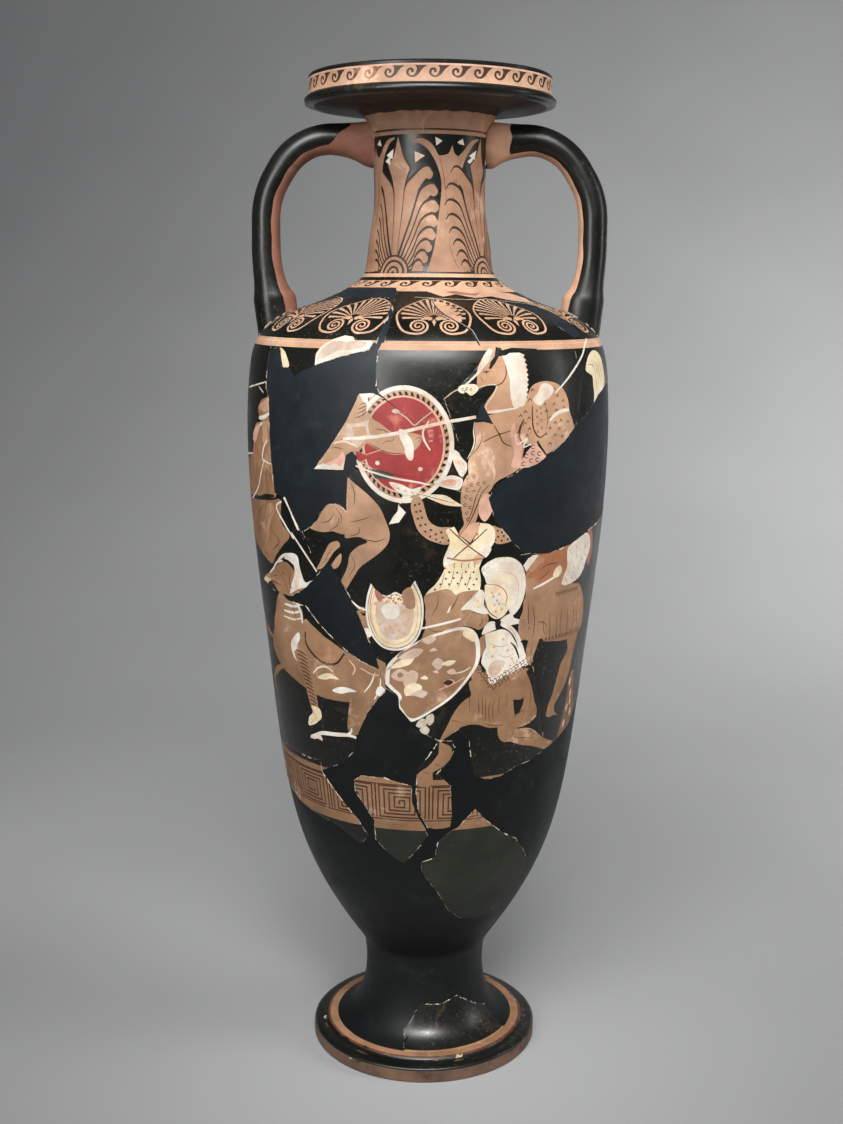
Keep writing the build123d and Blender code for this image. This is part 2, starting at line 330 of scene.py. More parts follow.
def running_wave(painting, low, high, count, colour):
    """The dark ground between running waves: each clay crest rises to the right and curls over."""
    pitch = 360 / count * GIRTH
    for k in range(count):
        x0 = SEAM * GIRTH + (k + 0.5) * pitch

        def place(points):
            """Points of one wave, in shares of its pitch and of the band's height."""
            return [(x0 - u * pitch, high - v * (high - low)) for u, v in points]
        outer = [(-0.56, 0.0), (-0.34, 0.30), (-0.16, 0.72), (0.04, 0.93), (0.24, 0.86),
                 (0.36, 0.62), (0.34, 0.34), (0.20, 0.18), (0.05, 0.28), (0.03, 0.52)]
        inner = [(0.14, 0.56), (0.15, 0.40), (0.21, 0.36), (0.25, 0.46), (0.25, 0.62),
                 (0.16, 0.76), (0.04, 0.74), (-0.06, 0.52), (-0.10, 0.22), (-0.02, 0.0)]
        painting.fill(curve(place(outer), step=1.2) + curve(place(inner), step=1.2), colour)


def neck_palmette(az0):
    """A tall palmette on the neck: a hooped heart, one pointed petal and eight curved ones a side."""
    wide = 1 / 0.87                     # the figures below are widths as they look from in front

    def local(points):
        """Points counted from the palmette's middle."""
        return [(az0 + x * wide, h) for x, h in points]
    tips = [(31, 798), (35.5, 784), (36.5, 771), (35.5, 759), (33.5, 748), (30.5, 738), (27.5, 729),
            (24, 721)]
    for side in (-1, 1):
        for i, (x, h) in enumerate(tips):
            a = math.radians(84 - 11.5 * i)
            bx, bh = 12.5 * math.cos(a), 715 + 14 * math.sin(a)
            arch = [(bx, bh), (bx + 0.26 * (x - bx), bh + 0.52 * (h - bh)),
                    (0.55 * x + 0.2 * bx, h - 0.02 * (h - bh)), (0.78 * x, h + 4.8),
                    (0.92 * x, h + 4.6), (x, h + 0.6)]
            if i == 0:
                arch[1:4] = [(3.9, 760), (6.2, 785), (15, 796), (24, 803)]
            frond = curve(arch + [(x, h - 3.6), (0.92 * x, h - 6), (0.82 * x, h - 5)])
            frond += [(0.60 * x, h - 14), (bx, max(716.6, bh - 4))]
            pen.area(local([(side * px, max(716.6, ph)) for px, ph in frond]), "buff")
            pen.line(local([(side * px, max(717, ph - 0.4)) for px, ph in arch]), "umber", 2.5, 0.4)
    point = [(-2.4, 729), (-3.8, 765), (-5.6, 788), (-11.0, 804), (-4.6, 811), (0.8, 827),
             (5.6, 810), (11.0, 801), (6.0, 787), (3.8, 765), (2.4, 729)]
    for grow, colour in ((1.16, "umber"), (1.0, "buff")):
        corners = [(x * grow, h + (0.8 if grow > 1 and h > 800 else 0)) for x, h in point]
        pen.area(local(curve(corners[:4]) + curve(corners[3:6])[1:] + curve(corners[5:8])[1:]
                       + curve(corners[7:])[1:]), colour)
    for radius, colour in ((13.4, "umber"), (12.0, "buff"), (9.8, "umber"), (8.0, "buff"),
                           (5.2, "umber"), (3.6, "buff"), (1.3, "umber")):
        arc = [(radius * math.cos(a), 715 + 1.12 * radius * math.sin(a))
               for a in np.linspace(0, math.pi, 18)]
        pen.area(local(arc), colour)


def neck_calyx(az0):
    """The pair of stems between two palmettes, which part round a pointed leaf."""
    def local(points):
        """Points counted from the middle of the pair."""
        return [(az0 + x, h) for x, h in points]
    left = curve([(-20, 716), (-14, 735), (-11, 750), (-8.6, 765), (-6.4, 780), (-6.4, 790), (-9, 799),
                  (-13, 807), (-19, 815), (-26, 820), (-35, 822.5)])
    over_left = curve([(-35, 823.5), (-28, 825), (-21, 823.5), (-15, 819), (-10, 812)])
    leaf = curve([(-8, 811), (0, 813), (4, 820)]) + curve([(4, 820), (7, 813), (11, 811)])[1:]
    over_right = curve([(17, 816), (22, 821), (28, 825), (36, 826.5)])
    right = curve([(36, 825), (30, 822), (25, 817), (20, 810), (16, 801), (13.5, 790), (12, 775),
                   (11.4, 760), (11.6, 745), (13, 730), (16, 716)])
    pen.area(local(left + over_left + leaf + over_right + right), "buff")
    for line, width in (([(-9, 811), (-4.5, 797), (-1.5, 778), (0, 755)], 1.2),
                        ([(11.5, 811), (8, 795), (6, 775), (4, 752)], 1.5),
                        ([(16.5, 816), (11.5, 800), (8, 780), (6.5, 760), (6, 745)], 1.0),
                        ([(0, 740), (5, 726), (9, 719)], 0.7), ([(2, 733), (7, 722)], 0.6)):
        pen.line(local(line), "brown", width)


def neck_fillers(az0):
    """White triangles and dots between the palmettes and the stems."""
    for triangle in ([(-33, 814.5), (-23, 811), (-32.5, 805.5)], [(-13, 826), (-6, 823), (-12, 819)],
                     [(9, 822), (15, 825.5), (17, 820)], [(22, 807.5), (30, 812), (28.5, 804)],
                     [(-79, 824), (-74, 822), (-78, 820.5)], [(-66, 812), (-56, 817), (-58, 809)]):
        pen.area([(az0 + x, h) for x, h in triangle], "white")


def shoulder_palmette(az0):
    """A fan of petals inside a ring that winds at its foot into two eyes."""
    def local(points):
        """Points counted from the fan's middle, as (azimuth, radius)."""
        return plan([(az0 + x, r) for x, r in points])
    for side in (-1, 1):
        x, t = local([(side * 5.3, 137.6)])[0]
        eye = spiral((x, t), 9.2, 2.3, math.radians(-90), 1 if side < 0 else -1, 16)
        ring = local([(0, 88.6), (side * 4.6, 91), (side * 9.4, 99), (side * 12.6, 110),
                      (side * 13.7, 121), (side * 12.6, 133), (side * 9.8, 142.6)])
        body_paint.line(curve(ring + eye[:2], step=2.5)[:-1] + eye[1:], 2.0, "clay", taper=0.35)
        for i in range(7):
            a = math.radians(77 - 17 * i)
            tip = (side * 11.9 * math.cos(a), 117.5 - 25.5 * math.sin(a))
            base = (side * 1.7 * math.cos(a), 127.5 - 4.0 * math.sin(a))
            lean = (side * (0.48 * abs(tip[0]) + 0.4), 0.42 * base[1] + 0.58 * tip[1] - 1.4 * (i > 0))
            body_paint.fill(petal(*local([base, lean, tip]), 0.6, 4.1 - 0.12 * i), "clay")
        bud = local([(side * 0.5, 128), (side * 1.8, 126.4), (side * 3.6, 127.6),
                     (side * 4.6, 130.4), (side * 2.6, 130.4), (side * 1.1, 131.4)])
        body_paint.fill(curve(bud, closed=True), "clay")
    body_paint.fill(petal(*local([(0, 123), (0, 108), (0, 92.8)]), 0.7, 3.9), "clay")
    body_paint.fill(local([(-0.7, 132.6), (0, 129.4), (0.7, 132.6), (0, 138)]), "clay")


def meander_unit(az0, az1, low, high, lines, mirrored):
    """A square spiral of brown lines on clay."""
    x0, x1 = az0 * GIRTH, az1 * GIRTH
    t0, t1 = wall.t_at(low), wall.t_at(high)
    step = (t1 - t0) / (2 * lines + 1)
    step_x = (x1 - x0) / (2 * lines + 1)
    left, right, bottom, top = x0 + step_x / 2, x1 - step_x / 2, t0 + step / 2, t1 - step / 2
    path = [(left, bottom)]
    while right - left > 2 * step_x and top - bottom > 2 * step:
        path += [(left, top), (right, top), (right, bottom), (left + 2 * step_x, bottom)]
        left, right, bottom, top = (left + 2 * step_x, right - 2 * step_x, bottom + 2 * step,
                                    top - 2 * step)
        path[-1] = (left, bottom - 2 * step)
    centre = (x0 + x1) / 2
    if mirrored:
        path = [(2 * centre - x, t) for x, t in path]
    half = step * 0.44
    for (ax, at), (bx, bt) in zip(path, path[1:]):
        body_paint.fill([(min(ax, bx) - half, min(at, bt) - half),
                         (max(ax, bx) + half, min(at, bt) - half),
                         (max(ax, bx) + half, max(at, bt) + half),
                         (min(ax, bx) - half, max(at, bt) + half)], "brown")


def wall_bands():
    """The plain bands and the repeated ornament, from the foot up to the mouth."""
    t = wall.t_at
    top = wall.length
    band(body_paint, t(18), t(18.9), "olive")
    for name, outline in BODY_PIECES:
        if name in GREY_SHERDS:
            body_paint.fill(on_chart(name, outline), "ash")
    band(body_paint, t(248), t(296), "clay")
    count = 18
    pitch = 360 / count
    for k in range(count):
        az = SEAM + 3 + k * pitch
        band(body_paint, t(259), t(290), "brown", az, az + 0.6)
        meander_unit(az + 1.2, az + pitch - 0.6, 259, 290, 9, k % 2)
    for low, high in ((257, 258), (290, 291)):
        band(body_paint, t(low), t(high), "brown")
    band(body_paint, t(654.5), t(661.5), "clay")
    band(body_paint, t(658.6), t(659.3), "rose")
    for k in range(12):
        shoulder_palmette(1.8 + (k - 4) * 30)
    band(body_paint, t_at_radius(77), t_at_radius(70.5), "clay")
    band(body_paint, t_at_radius(71), t_at_radius(62.0), "clay")
    running_wave(body_paint, t_at_radius(70.5), t_at_radius(62.4), 22, "brown")
    band(body_paint, t(711.6), t(714.6), "clay")
    band(body_paint, t(715.4), t(716.2), "brown")
    # the neck's clay is the darker buff: painted shade under the mouth
    for k in range(4):
        az = -33 + 90 * k
        neck_palmette(az)
        neck_calyx(az + 51)             # the stems stand a little off the middle of the gap
        neck_fillers(az + 51)
    band(body_paint, t(828.5), top, "buff")
    band(body_paint, top - 1.6, top, "brown")


# ------------------------------------------------------------------ the figures, upper register
def ellipse(centre, half_width, half_height):
    """Points round an ellipse."""
    return [(centre[0] + half_width * math.cos(a), centre[1] + half_height * math.sin(a))
            for a in np.radians(np.linspace(0, 360, 64, endpoint=False))]


def round_shield(p):
    """A round shield seen from outside: white rim, a ring of waves and a red field."""
    centre = (-7.0, 581.0)
    p.area(ellipse(centre, 14.4, 46.5), "white")
    p.area(ellipse(centre, 13.1, 43.0), "clay")
    for k in range(46):
        a = math.radians(360 / 46 * k)

        def ring(turn, size):
            """A point near this wave's place on the rim."""
            return (centre[0] + 14.4 * size * math.cos(a + turn),
                    centre[1] + 46.5 * size * math.sin(a + turn))
        p.area([ring(-0.055, 0.835), ring(0.0, 0.90), ring(0.035, 0.90), ring(0.05, 0.875),
                ring(0.03, 0.862), ring(0.022, 0.878), ring(0.045, 0.835)], "gloss")
    p.area(ellipse(centre, 11.8, 38.6), "rose")
    p.area(ellipse(centre, 11.3, 37.2), "red")


def shield_arm(p):
    """The arm laid across the shield, its white band and the spear behind it."""
    p.blob([(-18, 583), (-16.5, 587), (-12, 589.5), (-9, 591), (-4.5, 590.5), (-1.8, 588),
            (-2.6, 580), (-5, 575), (-9.5, 573), (-13.5, 576)], "clay")
    p.blob([(-16.8, 600), (-14, 598), (-11.5, 593), (-10, 590), (-13, 588), (-16.5, 588.5)], "clay")
    p.fold([(-17.5, 582), (-14.5, 578), (-11, 574.5), (-7, 574)], 0.7)
    p.fold([(-13, 581), (-12, 583.5), (-10, 584), (-9.6, 587)], 0.5)
    p.fold([(-3.6, 585), (-2.4, 587), (-1.9, 585), (-3, 583.5)], 0.5)
    p.fold([(-15, 593), (-12.5, 592), (-11, 590)], 0.6)
    p.area([(-21, 575), (-16.5, 571), (-19.5, 566), (-20.6, 568)], "red")
    p.line([(-18, 572), (-13, 577)], "rose", 0.7)
    p.line([(-25, 584), (-17, 586), (-9, 590), (3, 598), (13.6, 603)], "white", 2.7, 0.1)
    p.blob([(-8.2, 593), (-6.6, 592.4), (-5.6, 589), (-4.4, 584), (-4, 576), (-4.4, 569),
            (-5.4, 569), (-6.3, 573), (-6.8, 580), (-8, 587)], "white")
    p.line([(0.2, 600), (-1.4, 592), (-1.2, 586), (0.6, 577)], "white", 1.5, 0.2)
    for h in (584, 588, 592, 596):
        p.line([(0.2, h), (1.3, h + 0.6)], "rose", 0.8, 0.0)
    p.area([(-17, 561), (-13, 560), (-9.5, 557.5), (-11, 553.5), (-15, 553.5)], "teal")
    p.line([(-21, 563), (-16.5, 559), (-9, 554), (-3, 551.5), (0.5, 549.5)], "white", 1.5, 0.1)
    p.line([(-20.5, 567), (-17, 563.5), (-16, 560)], "chip", 0.9, 0.2)
    p.line([(-10, 607.5), (-8.2, 606), (-5.6, 601), (-3.9, 596.5), (-1.8, 601), (1.2, 607.5)],
           "chip", 1.0, 0.1)
    p.blob([(-9.6, 609), (-8, 607.5), (-9, 605.5), (-10.4, 607)], "chip")
    p.dots([(-14.4, 566), (-2.1, 562)], "white", 1.8)


def shield_sash(p):
    """Knotted white sash, cream streamer and the small white cloths beside the shield."""
    p.blob([(-11, 551), (-7.5, 549.5), (-4.6, 546), (-2, 547.5), (-2.6, 543), (-5, 540.5),
            (-8.4, 543)], "white")
    for knot in ((-8.4, 546.5), (-6.3, 544.5), (-4.4, 543.6)):
        p.fold([(knot[0] - 0.4, knot[1]), knot, (knot[0] + 0.4, knot[1] - 1.6)], 0.5)
    p.area([(-7.0, 541), (-8.2, 532.5), (-6.2, 527), (-8.3, 518.5), (-11.2, 517), (-10, 523),
            (-8.6, 528), (-8.4, 533), (-6, 536.5), (-4.6, 540)], "white")
    p.blob([(-4.6, 544.5), (0, 542), (5, 541), (8, 536), (10, 532.5), (5.5, 533), (2, 536.5),
            (-1.6, 541)], "cream")
    p.fold([(-3, 542.6), (2, 538.8), (7.6, 534.6)], 0.5)
    p.blob([(1.6, 551.5), (4, 554.5), (6.4, 557), (8.6, 556), (10, 553.4), (9, 545.6), (6, 546.5),
            (3, 549)], "white")
    p.blob([(3.6, 551.6), (6, 554), (8.2, 552.6), (7.6, 548.6), (5, 549.4)], "rose")
    p.blob([(7, 577.5), (8.4, 576), (9.6, 571), (11.2, 565.4), (10.8, 559), (9.6, 555.8),
            (8.2, 561), (7, 569.6)], "white")


def shield_bearer(p):
    """Chest and skirt of the warrior behind the shield."""
    p.area([(-20, 622), (-18.4, 624.5), (-16.8, 619.5), (-13.4, 616), (-16, 606), (-16.6, 600),
            (-13.6, 590), (-16, 586), (-19.4, 583), (-20.6, 574), (-24, 574.5), (-24.4, 560),
            (-36, 557), (-29, 578), (-24, 598)], "clay")
    p.blob([(-20.4, 622), (-18.6, 626), (-17, 621), (-15, 620.5), (-16.6, 617.5), (-19, 618)],
           "white")
    for az, h in ((-19.4, 615), (-18.2, 613.4), (-17.4, 616), (-18.8, 610.6), (-17.2, 611)):
        p.fold([(az, h + 1.6), (az + 0.3, h - 1.2)], 1.1, 0.3)
    p.fold([(-20, 608), (-19.6, 600), (-20.6, 594)], 0.6)
    p.fold([(-18, 607), (-17.2, 600)], 0.6)
    p.area([(-24.4, 595), (-20, 598), (-16.6, 602), (-16, 600), (-18, 590), (-18.4, 585),
            (-24.6, 585), (-25.4, 590)], "white")
    p.area([(-23, 594), (-19.2, 596.4), (-18.8, 590), (-20, 586.4), (-23.4, 586.6)], "rose")
    p.line([(-25, 583), (-20, 582.6)], "white", 2.2, 0.2)
    p.blob([(-34.6, 559), (-30, 564.4), (-26.6, 568.6), (-25.2, 574), (-24.2, 568), (-24.2, 560.4),
            (-29, 559)], "rose")
    p.blob([(-35.2, 558), (-31.6, 563), (-29.6, 562), (-27.8, 564), (-26, 562.2), (-24.4, 566),
            (-24.4, 559), (-30, 557.6)], "white")
    p.fold([(-28.4, 577), (-25.2, 576)], 0.6)


def lunging_legs(p):
    """Bare legs of the warrior, one bent in front and one stretched out behind."""
    p.area(p.smooth([(-24.6, 556), (-22, 550), (-19.5, 545), (-16.6, 538.5), (-13.8, 530),
                     (-12.2, 520), (-11, 510), (-11.4, 502), (-13.4, 495), (-17, 487),
                     (-20.4, 480), (-23, 470), (-25.4, 460.5)])
           + p.smooth([(-25.4, 460.5), (-27.2, 466), (-26, 472), (-24.6, 480), (-23.6, 490),
                       (-21, 497), (-17.8, 501.5), (-20, 505), (-25, 503)])
           + [(-26, 520), (-25.6, 540)], "clay")
    p.fold([(-22.6, 549), (-21.4, 540), (-21.8, 531)], 0.7)
    p.fold([(-23.4, 517), (-20, 519), (-16.4, 523)], 0.6)
    p.fold([(-23.6, 505), (-20.5, 508.5), (-20, 514)], 0.6)
    p.fold([(-20, 504), (-15, 502.4), (-12.4, 505)], 0.7)
    p.fold([(-23.2, 490), (-22.2, 481), (-24, 472)], 0.5)
    p.blob([(-37.6, 509), (-34.6, 516), (-32.6, 524), (-30, 530.5), (-27, 530.5), (-25, 526),
            (-25, 516), (-25.4, 506.6), (-29, 508), (-33, 506.4)], "clay")
    p.fold([(-33, 514), (-30, 517), (-28.6, 523)], 0.7)
    p.fold([(-30.4, 508), (-27.6, 513), (-26.6, 520)], 0.6)
    p.fold([(-27.6, 527), (-26, 521), (-26.2, 515)], 0.6)
    p.area([(-33.6, 505), (-29, 507), (-25.4, 505.4), (-24, 500.6), (-27, 502), (-30, 498),
            (-33, 500.4)], "gloss")
    p.blob([(-36, 474), (-34.4, 481), (-32.4, 490), (-30.2, 498), (-27.4, 500), (-26.8, 496.6),
            (-29, 491), (-31, 484), (-33.6, 476)], "clay")
    p.fold([(-33, 480), (-31.4, 488), (-29.4, 494)], 0.5)
    p.blob([(-30.6, 477), (-29, 484), (-26.6, 490), (-26.8, 483), (-28.6, 477)], "clay")


def cantering_horse(p):
    """Head, neck and breast of a white-maned horse."""
    p.area(p.smooth([(12.2, 550), (11.6, 559), (11.6, 570), (13.2, 579), (13.6, 585), (13.2, 591),
                     (13.4, 598.6)])
           + [(16, 599), (18.6, 597), (17, 604), (26, 609), (29.6, 612), (30, 600), (28, 566)]
           + p.smooth([(27.4, 561), (24, 556), (20.6, 552), (18.6, 548), (15, 552)]), "clay")
    p.blob([(24, 590), (26, 600), (27.6, 588), (27.8, 572), (27.2, 562), (24.6, 563), (25.4, 574)],
           "rose")
    p.blob([(14, 631.5), (14.2, 637), (15.2, 643), (17, 650), (19, 655), (22, 654), (26.4, 640),
            (25, 620), (24.6, 609), (21, 606), (17.4, 605.6), (16, 610), (17, 616), (18.8, 622),
            (19.6, 627), (17, 627.4), (14, 625)], "clay")
    p.line([(14.4, 626), (17, 627.6), (19.8, 627.4), (19, 621), (16.6, 611), (17, 606)], "white", 0.7)
    p.area([(8.9, 625.4), (11.3, 630.7), (13.9, 637.3), (14.8, 644.2), (16.4, 651), (18.2, 656.4),
            (19.3, 654.7), (17.9, 646.5), (16, 640.7), (14, 635), (10.9, 627.7), (9.5, 624.1)],
           "white")
    mane = [(25, 652.4), (28, 652.6)]
    for k in range(11):
        h = 650.6 - k * 3.9
        az = 29.0 + 0.9 * math.sin(0.30 * k + 0.2)
        mane += [(az + 0.5, h), (az - 0.1, h - 1.6)]
    mane += [(29.2, 609.6), (25.2, 608.6), (24.2, 618), (24.0, 632), (22.8, 645), (22, 651)]
    p.area(mane, "white")
    p.area([(17, 605.4), (20, 606), (25.8, 608.4), (26, 609.8), (21, 608.4), (17.2, 607.6)], "white")
    p.fold([(22.8, 643), (23, 636), (21.6, 629.4), (19.4, 627.2), (18.6, 627.6)], 0.9)
    p.fold([(15.8, 637.4), (16.6, 638.4), (18, 638.2)], 0.8)
    p.dots([(16.9, 637.4)], "brown", 0.8)
    p.fold([(17.2, 641), (18.8, 641.6)], 0.5)
    p.fold([(14.8, 634), (15.6, 632), (15.4, 630)], 0.5)
    p.fold([(20, 646), (20.6, 650), (22, 652)], 0.5)
    p.area([(13.6, 600.2), (14.6, 609), (15.2, 614), (16.4, 609), (17.6, 602.6), (18.8, 597),
            (16.4, 600)], "fill")
    p.fold([(15.6, 583), (18.4, 586.6), (20.8, 589), (24.2, 591.4)], 0.9, 0.3)
    p.fold([(19, 596), (20.6, 588.6), (22, 582), (24.4, 579)], 0.9, 0.3)
    p.dots([(20.7, 588.9)], "brown", 1.1)
    p.fold([(12.6, 574), (14.6, 580), (15.6, 588)], 0.6)
    p.line([(4.4, 617), (7, 622.6), (9.2, 625)], "chip", 1.0, 0.2)
    p.area([(17.7, 640.1), (18.2, 645.3), (19.7, 649.9), (20.4, 657), (21.9, 656.4), (22.4, 654.5),
            (25.5, 656.4), (29.1, 656), (34.6, 655.3), (34.6, 654.4), (29.1, 654.6), (25.5, 653.7),
            (23.3, 650.5), (21, 649.9), (19.7, 644.7), (18.2, 640.1)], "gloss")
    p.line([(20.2, 658), (23, 658.2), (27, 657.6), (33, 656.2), (38, 654.6)], "chip", 1.1, 0.4)
    p.line([(13.2, 599), (12.9, 591), (13.2, 585), (12.8, 579), (11.2, 570)], "white", 0.9)
    p.blob([(8.4, 624), (9.2, 627.6), (11, 628.4), (13.6, 628.2), (14.4, 625), (13.4, 621.4),
            (12, 619.6), (11, 622), (9.4, 621.4)], "cream")
    p.rings([(9.8, 624.6), (11, 625.2), (12.2, 624.2), (10.6, 623)], "brown", 0.9)


def rider(p):
    """A rider in a spotted tunic, leaning over the horse's back."""
    p.area(p.smooth([(25.4, 598), (25.8, 605), (26.6, 609.6), (28.6, 611), (30, 620), (31.4, 626),
                     (34, 629), (38, 629.4), (42, 626), (44.4, 620), (45.8, 612), (46.2, 605),
                     (47.4, 598), (48.6, 591)])
           + p.smooth([(48.6, 591), (46, 583.4), (42, 577.4), (38.4, 572.6), (36, 570.6)])
           + [(30, 580), (27.6, 581), (26, 588)], "clay")
    marks = [(31.6, 623), (33, 618), (37, 624.4), (39.8, 623), (41, 617.6), (43.4, 613.4),
             (43.8, 608), (39.6, 611), (36.6, 606), (38, 600.4), (27.4, 603), (29, 606), (30.2, 601),
             (28.8, 596.6), (30.4, 592.4), (26.8, 590), (29.6, 587), (40, 596), (42.4, 597.6),
             (45.4, 596), (41.6, 591), (44.4, 589), (43, 584.6), (40, 586), (38, 592), (38, 579.4),
             (36.4, 587.6), (30.6, 615.4), (36, 611.4), (40.6, 606)]
    for k, (az, h) in enumerate(marks):
        s = 0.55 + 0.12 * math.sin(3.1 * k)
        p.fold([(az - s, h - 1.2), (az, h + 1.0), (az + s, h - 1.0)], 0.85, 0.3)
    p.blob([(31.6, 612), (31.8, 606), (32, 597), (32.6, 590), (34.6, 586.4), (36, 590), (36.2, 600),
            (35.6, 609), (33.6, 613)], "clay")
    p.fold([(31.4, 611), (31.4, 600), (32, 591), (34, 585), (36.4, 587.6)], 1.3, 0.4)
    p.fold([(36.2, 610), (37, 600), (36.6, 592)], 0.6)
    p.rings([(33, 606.4), (34.6, 604), (33.2, 601.4), (34.8, 598.6), (33.2, 595.6), (34.8, 592.4),
             (33.4, 589.8), (34.4, 608.6)], "brown", 0.8)
    p.blob([(32.2, 613), (31.8, 616), (33.4, 620.6), (35, 627.4), (37.6, 627.4), (39.6, 623),
            (38, 616.6), (36, 614.4), (34.4, 610.6)], "white")
    p.line([(37.8, 598), (40, 602.6), (43.4, 605.4), (46, 605.4)], "white", 3.0, 0.35)
    p.fold([(28.4, 600), (27.2, 593), (27, 586), (28.2, 581)], 2.0, 0.5)
    p.line([(33.2, 582), (34.4, 577), (36.4, 571)], "gloss", 2.2, 0.3)
    p.area(p.smooth([(27.4, 560.6), (28, 567), (29.6, 574), (32.4, 580.6)])
           + [(34, 577), (36.6, 569.4), (36, 566), (32, 562.4)], "rose")
    p.rings([(31.8, 572.6), (29.4, 570.6), (31.2, 566.6), (33.4, 567), (34, 572), (28.6, 564.4),
             (31.8, 577.6)], "brown", 1.6)
    p.line([(25.6, 588), (26.4, 580.6), (29.6, 584.4), (28.4, 578), (31, 580)], "white", 1.2, 0.2)
    p.line([(40.2, 620), (44, 627), (50, 639), (56, 650.6), (59, 657), (63, 662)], "white", 1.9,
           0.3)


def wing(p):
    """The tip of a feathered wing."""
    p.blob([(56, 636.4), (57, 642.6), (59.6, 648.6), (63.6, 652), (67.6, 650.6), (70.4, 645.4),
            (71.6, 636), (72.4, 628), (71, 621.6), (66, 618.4), (62, 612), (60.6, 609),
            (60.8, 616), (60.4, 624), (60.2, 631), (57.6, 634)], "cream")
    for k in range(5):
        az = 62.6 + 2.0 * k
        p.fold([(az - 2.2, 645 - k), (az, 634 - 0.6 * k), (az + 0.6, 620 + 0.8 * k)], 0.6)
    p.fold([(58, 641), (61, 640), (63, 634)], 0.6)
    p.line([(60.8, 610), (65.6, 617.4), (71, 621)], "white", 2.4, 0.2)


def draped_figure(p):
    """A standing draped figure, seen from the side of the vessel."""
    p.blob([(-55.6, 612), (-55, 600), (-54.6, 585), (-54, 560), (-53, 540), (-53, 530), (-60, 528),
            (-68, 526), (-77, 524), (-84, 530), (-84, 552), (-76, 556), (-70, 564), (-68, 576),
            (-66, 588), (-61, 592), (-64, 600), (-62, 608), (-58, 612)], "olive")
    p.blob([(-63.6, 603), (-60, 608), (-56, 612), (-56, 603), (-58, 600)], "clay")
    p.line([(-63, 594), (-59, 595.4), (-56, 599)], "white", 3.4, 0.2)
    p.line([(-60.4, 590), (-66, 583), (-69, 574)], "white", 3.0, 0.3)
    p.blob([(-69, 578), (-66, 586), (-62, 589), (-64, 580), (-67, 572)], "rose")
    p.area([(-60, 592), (-56.6, 593), (-56.4, 575), (-58.4, 572), (-60.4, 576)], "clay")
    p.line([(-57, 577), (-59.6, 569), (-60.6, 560), (-58, 558), (-55, 557)], "white", 1.8, 0.2)
    p.line([(-59.4, 560), (-62, 548), (-65.6, 534), (-72, 524), (-80, 516)], "white", 1.8, 0.2)
    p.line([(-70, 562), (-76, 560), (-84, 557)], "white", 1.6, 0.3)
    for dx in (0.0, 3.4, 7.0):
        p.fold([(-57.4 - dx, 552), (-58.6 - dx, 542), (-57 - dx, 532)], 0.8)
        p.fold([(-66 - dx, 556), (-67 - dx, 545), (-70 - dx, 535)], 0.8)
    p.line([(-54, 530), (-59, 529), (-64, 526)], "gloss", 3.0, 0.3)
    p.blob([(-50.4, 528), (-56, 526), (-66, 523), (-78, 519), (-84, 508), (-82, 490), (-72, 480),
            (-63, 472), (-59, 470), (-56, 478), (-51, 489), (-47, 499), (-51, 510)], "olive")
    p.line([(-50, 527), (-53, 522), (-49, 508), (-45, 497)], "white", 2.0, 0.2)
    p.line([(-48.6, 531), (-46, 522), (-42.6, 505)], "white", 3.0, 0.3)
    p.fold([(-54, 518), (-60, 508), (-61, 494)], 0.9)
    p.fold([(-62, 520), (-68, 506), (-67, 492)], 0.9)
    p.fold([(-57, 500), (-53, 492), (-58, 482)], 0.9)
    p.area([(-50, 520), (-48.6, 524), (-46.6, 516), (-47.4, 511)], "gloss")
    p.line([(-46, 502), (-41.4, 489), (-36, 472)], "white", 1.8, 0.2)
    p.line([(-78, 617), (-68, 620.5), (-58, 625)], "white", 1.4, 0.3)
    p.line([(-64, 620), (-60, 615.5)], "white", 1.2, 0.3)
    p.blob([(-53, 653.4), (-50, 651), (-47.6, 645), (-46.4, 639), (-50, 637.6), (-51, 644)],
           "cream")


